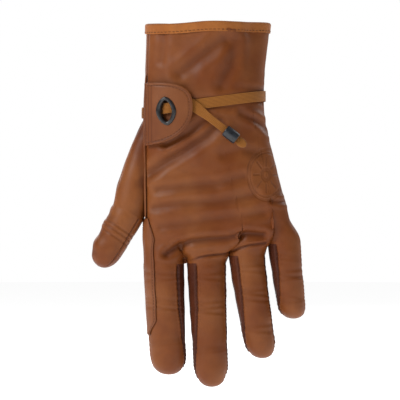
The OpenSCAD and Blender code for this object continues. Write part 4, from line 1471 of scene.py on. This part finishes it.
@dataclass
class Tape:
    """The woven tape: round the wrist, its loose end, end loop and bead."""

    shape: GloveShape
    hand: Hand
    width: float = 7.6 * MM
    thick: float = 0.8 * MM
    gap: float = 0.5 * MM
    slope: float = 0.139
    folded: float = 5.2 * MM
    tail: float = 30 * MM
    bead_d: float = 8.6 * MM
    bead_len: float = 10.7 * MM
    travel: float = 8 * MM
    dip: float = math.radians(38)
    tab_len: float = 33.5 * MM

    @property
    def tab_x(self) -> float:
        """Where the tab is sewn on."""
        return self.shape.wrist_shift - self.shape.wrist_w / 2 + 3.3 * MM

    def middle(self, x: Values) -> Values:
        """Returns the height of the tape's middle line at x."""
        return -self.shape.cuff_len + self.slope * (x - self.tab_x - self.tab_len)

    def wrist(self, kit: Wardrobe) -> None:
        """Builds the strap round the wrist, raised a little where it shows in the eyelet.

        Args:
            kit: The finishes.
        """
        a = np.radians(np.linspace(208, 552, 420))[:, None]
        d = np.linspace(-0.5, 0.5, 17)[None, :] * np.ones_like(a)
        level = np.full(a.shape, -self.shape.cuff_len)
        x = self.shape.oval(level, a)[..., 0]
        left, right, _ = self.shape.edges(level)
        front = np.sin(a) < 0
        low, high = self.middle(left), self.middle(right)
        mid = np.where(front, self.middle(x), mix(low, high, np.clip((x - left) / (right - left), 0, 1)))
        z = mid + d * self.width
        eye = 2.3 * MM * bell(x - self.tab_x - self.tab_len / 2, 6 * MM) * front
        dome = 0.12 * MM * (1 - (2 * d) ** 4)
        sunk = 0.35 * MM * bell(np.cos(a) - 0.4, 0.5) * front
        outer = self.shape.oval(z, a, self.gap + self.thick + eye + dome - sunk)
        inner = self.shape.oval(z, a, self.gap + eye - sunk)
        obj = shell("wrist_tape_strap", outer, inner)
        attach(dress(obj, kit.tape, ("wrist_tape",)), "hand")

    def frame(self) -> tuple:
        """Returns the loose end's start, its direction and its side."""
        x = self.tab_x + self.tab_len - 1.2 * MM
        along = np.array([math.cos(self.dip), 0, -math.sin(self.dip)])
        side = np.array([math.sin(self.dip), 0, math.cos(self.dip)])
        return np.array([x, 0, self.middle(x) + 0.4 * MM]), along, side

    def tail_y(self, s: Values) -> Values:
        """Returns how far out the loose end lies at s, from the wrist tape up to the bead's middle."""
        start, _, _ = self.frame()
        back = float(self.shape.on_back(start[0], start[2])[1])
        low = back - self.gap - 0.6 * MM - 1.5 * self.thick
        high = back - self.bead_d / 2 - 0.6 * MM
        return mix(low, high, ease(5 * MM, self.tail - self.travel - 3 * MM, s))

    def loose_end(self, kit: Wardrobe) -> None:
        """Builds the loose end and its end loop, flat ribbons folded narrower towards the bead.

        Args:
            kit: The finishes.
        """
        start, along, side = self.frame()
        s = np.linspace(-2 * MM, self.tail + self.bead_len + 0.8 * MM, 150)[:, None]
        e = np.linspace(-1, 1, 17)[None, :]
        half = mix(self.width, self.folded, ease(2 * MM, self.tail - self.travel - 3 * MM, s)) / 2
        up = (self.thick / 2 + 0.1 * MM * (1 - e**4)) * np.ones_like(s)
        middle = start + along * s[..., None] + side * (e * half)[..., None]
        middle[..., 1] += self.tail_y(s)
        outward = np.stack([0 * up, -up, 0 * up], -1)
        outer, inner = middle + outward, middle - outward
        obj = shell("tape_tail_ribbon", outer, inner)
        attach(dress(obj, kit.tape, ("tape_tail",)), "tape_tail")
        s0, loop = self.tail + self.bead_len + 0.9 * MM, 7.6 * MM
        k = np.linspace(0, 1, 60)[:, None]
        wide = self.folded / 2 + 0.7 * MM * np.sin(math.pi * k**0.8) - 1.2 * MM * k**4
        wide = wide * np.sqrt(np.clip(1 - np.clip((k - 0.72) / 0.28, 0, 1) ** 2 * 0.96, 0, 1))
        fat = self.thick * (0.75 + 0.9 * np.sin(math.pi * k**0.7)) - 0.2 * MM * k
        t = np.linspace(0, math.tau, 36, endpoint=False)[None, :]
        p = start + along * (s0 + k * loop + 0 * t)[..., None] + side * (wide * spow(np.cos(t), 0.7))[..., None]
        p[..., 1] += self.tail_y(s0) - fat * spow(np.sin(t), 0.8)
        obj = ring("tape_end_loop_fold", p, capped=True)
        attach(dress(obj, kit.tape, ("tape_end_loop",)), "tape_tail")

    def bead(self, kit: Wardrobe) -> None:
        """Builds the bead: a rounded tube profile turned about the tape.

        Args:
            kit: The finishes.
        """
        start, along, side = self.frame()
        r, bore, c = self.bead_d / 2, self.bead_d / 2 - 1.3 * MM, 0.9 * MM
        turn = np.linspace(0, math.pi / 2, 7)
        profile = np.concatenate([
            [[bore, c * 0.5]], [[bore + 0.25 * MM, 0.1 * MM]],
            np.stack([r - c + c * np.sin(turn), c - c * np.cos(turn)], -1),
            np.stack([r + 0.12 * MM * np.sin(np.linspace(0, math.pi, 9)[1:-1]),
                      np.linspace(c, self.bead_len - c, 9)[1:-1]], -1),
            np.stack([r - c + c * np.cos(turn), self.bead_len - c + c * np.sin(turn)], -1),
            [[bore + 0.25 * MM, self.bead_len - 0.1 * MM]], [[bore, self.bead_len - c * 0.5]]])
        t = np.linspace(0, math.tau, 72, endpoint=False)[:, None]
        out = np.array([0, -1, 0])
        radius = profile[None, :, 0]
        p = (start + along * (self.tail + 0.2 * MM + profile[None, :, 1])[..., None]
             + side * (radius * np.cos(t))[..., None] + out * (radius * np.sin(t))[..., None])
        p[..., 1] += self.tail_y(self.tail)
        obj = ring("bead_barrel", p - p.mean((0, 1)))
        obj.data.transform(Matrix.Translation(Vector(p.mean((0, 1)).tolist())))
        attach(dress(obj, kit.bead, ("bead",)), "bead")


@dataclass
class WristTab:
    """The D-shaped tab with its lining, stitches and oval eyelet."""

    shape: GloveShape
    x: float
    length: float = 33.5 * MM
    up: float = 19 * MM
    down: float = 26.3 * MM
    face_t: float = 1.1 * MM
    lining_t: float = 0.6 * MM
    lift: float = 3.3 * MM
    layer: float = 0.3 * MM
    eye_w: float = 12.8 * MM
    eye_h: float = 20.5 * MM
    rim: float = 2.6 * MM

    @property
    def z(self) -> float:
        """Height of the tab's middle line."""
        return -self.shape.cuff_len - 2.8 * MM

    @property
    def eye(self) -> np.ndarray:
        """Middle of the eyelet in x and z."""
        return np.array([self.x + self.length / 2, self.z - 1.8 * MM])

    def outline(self, count: int, inset: float = 0.0) -> np.ndarray:
        """The D outline, evenly spaced, x and z.

        Args:
            count: How many points.
            inset: Distance in from the edge.

        Returns:
            A superellipse on the free side, flatter above than below, closed by the straight seam.
        """
        b = np.radians(np.linspace(-88, 88, 300))
        n = np.where(np.sin(b) > 0, 3.3, 2.1)
        h = np.where(np.sin(b) > 0, self.up, self.down) - inset
        r = (np.abs(np.cos(b) / (self.length - inset)) ** n + np.abs(np.sin(b) / h) ** n) ** (-1 / n)
        curve = np.stack([self.x + inset + np.maximum(r * np.cos(b) - inset, 0), self.z + r * np.sin(b)], -1)
        path = np.concatenate([curve, curve[:1]])
        run = np.concatenate([[0], np.cumsum(np.linalg.norm(np.diff(path, axis=0), axis=1))])
        at = np.linspace(0, run[-1], count, endpoint=False)
        return np.stack([np.interp(at, run, path[:, k]) for k in (0, 1)], -1)

    def oval(self, b: np.ndarray, w: float, h: float) -> np.ndarray:
        """Returns points of the pointed eyelet oval, half width w and half height h, at angles b."""
        r = (np.abs(np.cos(b) / w) ** 1.7 + np.abs(np.sin(b) / h) ** 1.7) ** (-1 / 1.7)
        turn = b + math.radians(4)
        return self.eye + np.stack([r * np.cos(turn), r * np.sin(turn)], -1)

    def put(self, p: np.ndarray, lift: Values) -> np.ndarray:
        """Returns points of the tab's x and z at a lift above the back, with a soft warp."""
        warp = 0.5 * MM * ripple(p[..., 0], p[..., 1], 91, 24 * MM, 4) * ease(0, 12 * MM, p[..., 0] - self.x)
        sewn = 1.8 * MM * (1 - ease(0, 9 * MM, p[..., 0] - self.x))
        return self.shape.on_back(p[..., 0], p[..., 1], lift + warp - sewn)

    def layer_of(self, name: str, lift: float, thick: float, inset: float, material: bpy.types.Material,
                 node: str) -> None:
        """Builds one layer of the tab: rings from the eyelet's hole out to the edge, wrapped round it.

        Args:
            name: Name of the piece.
            lift: Distance out from the surface.
            thick: Thickness of the layer.
            inset: Distance in from the edge.
            material: Its finish.
            node: The solid it replaces.
        """
        edge = self.outline(360, inset)
        away = edge - self.eye
        hole = self.oval(np.arctan2(away[:, 1], away[:, 0]), self.eye_w / 2 - self.rim * 0.75,
                         self.eye_h / 2 - self.rim * 0.75)
        share = np.linspace(0, 1, 40)[None, :, None]
        flat = mix(hole[:, None], edge[:, None], share)
        near = np.linalg.norm(flat - edge[:, None], axis=-1)
        sewn = 0.28 * MM * bell(near - 2.2 * MM, 0.7 * MM) * (inset < 0.1 * MM)
        roll = 0.35 * thick * bell(near, 0.45 * MM)
        top = self.put(flat, lift + thick - roll - sewn)
        under = self.put(flat, lift + 0.3 * roll)
        rows = np.concatenate([top, under[:, ::-1]], 1)
        obj = ring(name, rows - top.mean((0, 1)))
        obj.data.transform(Matrix.Translation(Vector(top.mean((0, 1)).tolist())))
        co = np.empty(len(obj.data.vertices) * 3, np.float32)
        obj.data.vertices.foreach_get("co", co)
        spot = co.reshape(-1, 3)[:, [0, 2]]
        dense = self.outline(500, inset)
        gap = np.min(np.linalg.norm(spot[:, None] - dense[None, ::3], axis=-1), 1)
        # Painted shade along the tab's edge and its sunk stitch line.
        mask = 0.65 * bell(gap - 2.2 * MM, 0.45 * MM) + 0.75 * bell(gap, 0.5 * MM)
        obj.data.attributes.new("crease", "FLOAT", "POINT").data.foreach_set("value", mask.astype(np.float32))
        self.sew(dress(obj, material, (node,)))

    def sew(self, obj: bpy.types.Object) -> None:
        """Bakes a piece's placement into its mesh."""
        seam, free = (float(self.put(np.array([self.x + d, self.z]), self.lift)[0])
                      for d in (0.3 * MM, 5 * MM))
        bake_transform(obj)

    def build(self, kit: Wardrobe) -> None:
        """Builds lining, face, stitches and eyelet.

        Args:
            kit: The finishes.
        """
        face = self.lift + self.lining_t + self.layer
        self.layer_of("tab_lining_skin", self.lift, self.lining_t + self.layer, 0.25 * MM, kit.lining,
                      "tab_lining")
        self.layer_of("tab_face_skin", face, self.face_t, 0.0, kit.tab, "tab_face")
        line = self.outline(400, 2.2 * MM)
        line = line[line[:, 0] > self.x + 2.4 * MM]
        start = int(np.argmax(np.linalg.norm(np.diff(line, axis=0), axis=1))) + 1
        line = np.roll(line, -start, axis=0) if start < len(line) - 1 else line
        high = face + self.face_t - 0.2 * MM
        path, above = self.put(line, high), self.put(line, high + 1 * MM)
        row = stitch_row("tab_stitches", path, above - path, 2.4 * MM, 0.2 * MM)
        self.sew(dress(row, kit.thread))
        b = np.linspace(0, math.tau, 180, endpoint=False)
        t = np.linspace(0, math.pi, 13)
        inner = self.oval(b, self.eye_w / 2 - self.rim, self.eye_h / 2 - self.rim)
        outer = self.oval(b, self.eye_w / 2, self.eye_h / 2)
        share, rise = (1 - np.cos(t)) / 2, np.sin(t) ** 0.7
        base = face + self.face_t
        low = self.lift
        rows = [self.put(inner, low)]
        rows += [self.put(mix(inner, outer, s), base + 0.15 * MM + 1.1 * MM * r) for s, r in zip(share, rise)]
        rows += [self.put(mix(inner, outer, 0.12), base - 0.05 * MM), self.put(mix(inner, outer, 0.1), low)]
        p = np.stack(rows, 1)
        obj = ring("eyelet_rim", p - p.mean((0, 1)))
        obj.data.transform(Matrix.Translation(Vector(p.mean((0, 1)).tolist())))
        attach(dress(obj, kit.eyelet, ("eyelet",)), "tab")


# ---------------------------------------------------------------- studio


@dataclass(frozen=True)
class Studio:
    """A pale round floor, a white surround, soft lights and the camera."""

    floor_z: float = -0.300
    floor_r: float = 3.0
    view_from: tuple = (-5.84 * MM, -1.6, -128.5 * MM)
    seen_width: float = 292 * MM

    def floor(self) -> None:
        """Builds the floor, rings of points about its middle."""
        r = np.array([0.0, 0.5, 1.5, self.floor_r])[:, None]
        t = np.linspace(0, math.tau, 96, endpoint=False)[None, :]
        p = np.stack(np.broadcast_arrays(r * np.cos(t), r * np.sin(t), self.floor_z), -1)
        grid = np.arange(p.shape[0] * p.shape[1]).reshape(p.shape[:2])
        wide = np.concatenate([grid, grid[:, :1]], 1)
        faces = np.stack([wide[:-1, :-1], wide[1:, :-1], wide[1:, 1:], wide[:-1, 1:]], -1).reshape(-1, 4)
        obj = mesh_object("floor", p.reshape(-1, 3), faces)
        mat = bpy.data.materials.new("pale_floor")
        mat.use_nodes = True
        shader = mat.node_tree.nodes["Principled BSDF"]
        shader.inputs["Base Color"].default_value = (0.94, 0.94, 0.94, 1)
        shader.inputs["Roughness"].default_value = 0.9
        shader.inputs["Specular IOR Level"].default_value = 0.0
        shader.inputs["Emission Color"].default_value = (1, 1, 1, 1)
        shader.inputs["Emission Strength"].default_value = 0.7
        obj.data.materials.append(mat)

    def surround(self) -> None:
        """Builds the world: white to look at, dimmer as a light."""
        world = bpy.data.worlds.new("studio")
        world.use_nodes = True
        n = Nodes(world.node_tree)
        back = world.node_tree.nodes["Background"]
        back.inputs["Color"].default_value = (1, 1, 1, 1)
        seen = n.add("ShaderNodeLightPath").outputs["Is Camera Ray"]
        n.tree.links.new(n.remap(seen, 0, 1, 0.27, 1.0), back.inputs["Strength"])
        bpy.context.scene.world = world
        bpy.context.scene.view_settings.view_transform = "Standard"

    def lamp(self, name: str, place: tuple, aim: tuple, size: float, power: float) -> None:
        """Adds a soft square light."""
        data = bpy.data.lights.new(name, "AREA")
        data.energy, data.size = power, size
        obj = bpy.data.objects.new(name, data)
        obj.location = place
        obj.rotation_euler = (Vector(aim) - Vector(place)).to_track_quat("-Z", "Y").to_euler()
        bpy.context.scene.collection.objects.link(obj)

    def build(self) -> None:
        """Builds the floor, the surround, the lights and the camera."""
        self.floor()
        self.surround()
        aim = (0, 0, -0.12)
        self.lamp("key", (-0.95, -0.75, 0.6), aim, 0.5, 13.5)
        self.lamp("fill", (1.0, -1.2, 0.1), aim, 1.2, 0.5)
        self.lamp("rim", (0.7, 0.6, 0.5), aim, 0.6, 4)
        self.lamp("back", (-0.6, 1.2, 0.5), aim, 0.9, 7)
        camera = bpy.data.cameras.new("camera")
        camera.sensor_width = 36
        camera.lens = 36 * abs(self.view_from[1]) / self.seen_width
        camera.clip_start = 0.05
        obj = bpy.data.objects.new("camera", camera)
        obj.location = self.view_from
        obj.rotation_euler = (math.pi / 2, 0, 0)
        bpy.context.scene.collection.objects.link(obj)
        bpy.context.scene.camera = obj


def main() -> None:
    """Builds the glove's sub-assemblies, then the studio."""
    logging.basicConfig(level=logging.INFO, format="%(message)s")
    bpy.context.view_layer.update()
    kit = Wardrobe()
    shape = GloveShape()
    relief = Relief(shape)
    hand, patch = Hand(shape, relief), Patch(shape, relief)
    hand.panels(kit)
    hand.thumb_root(kit)
    hand.piping(kit)
    hand.patch(kit, patch)
    for f in range(4):
        Stall(shape, relief, f).build(kit)
    patch.build(kit)
    Thumb(shape, relief).build(kit)
    Cuff(shape).build(kit)
    tape = Tape(shape, hand)
    tape.wrist(kit)
    tape.loose_end(kit)
    tape.bead(kit)
    WristTab(shape, tape.tab_x).build(kit)
    Studio().build()


if __name__ == "__main__":
    main()
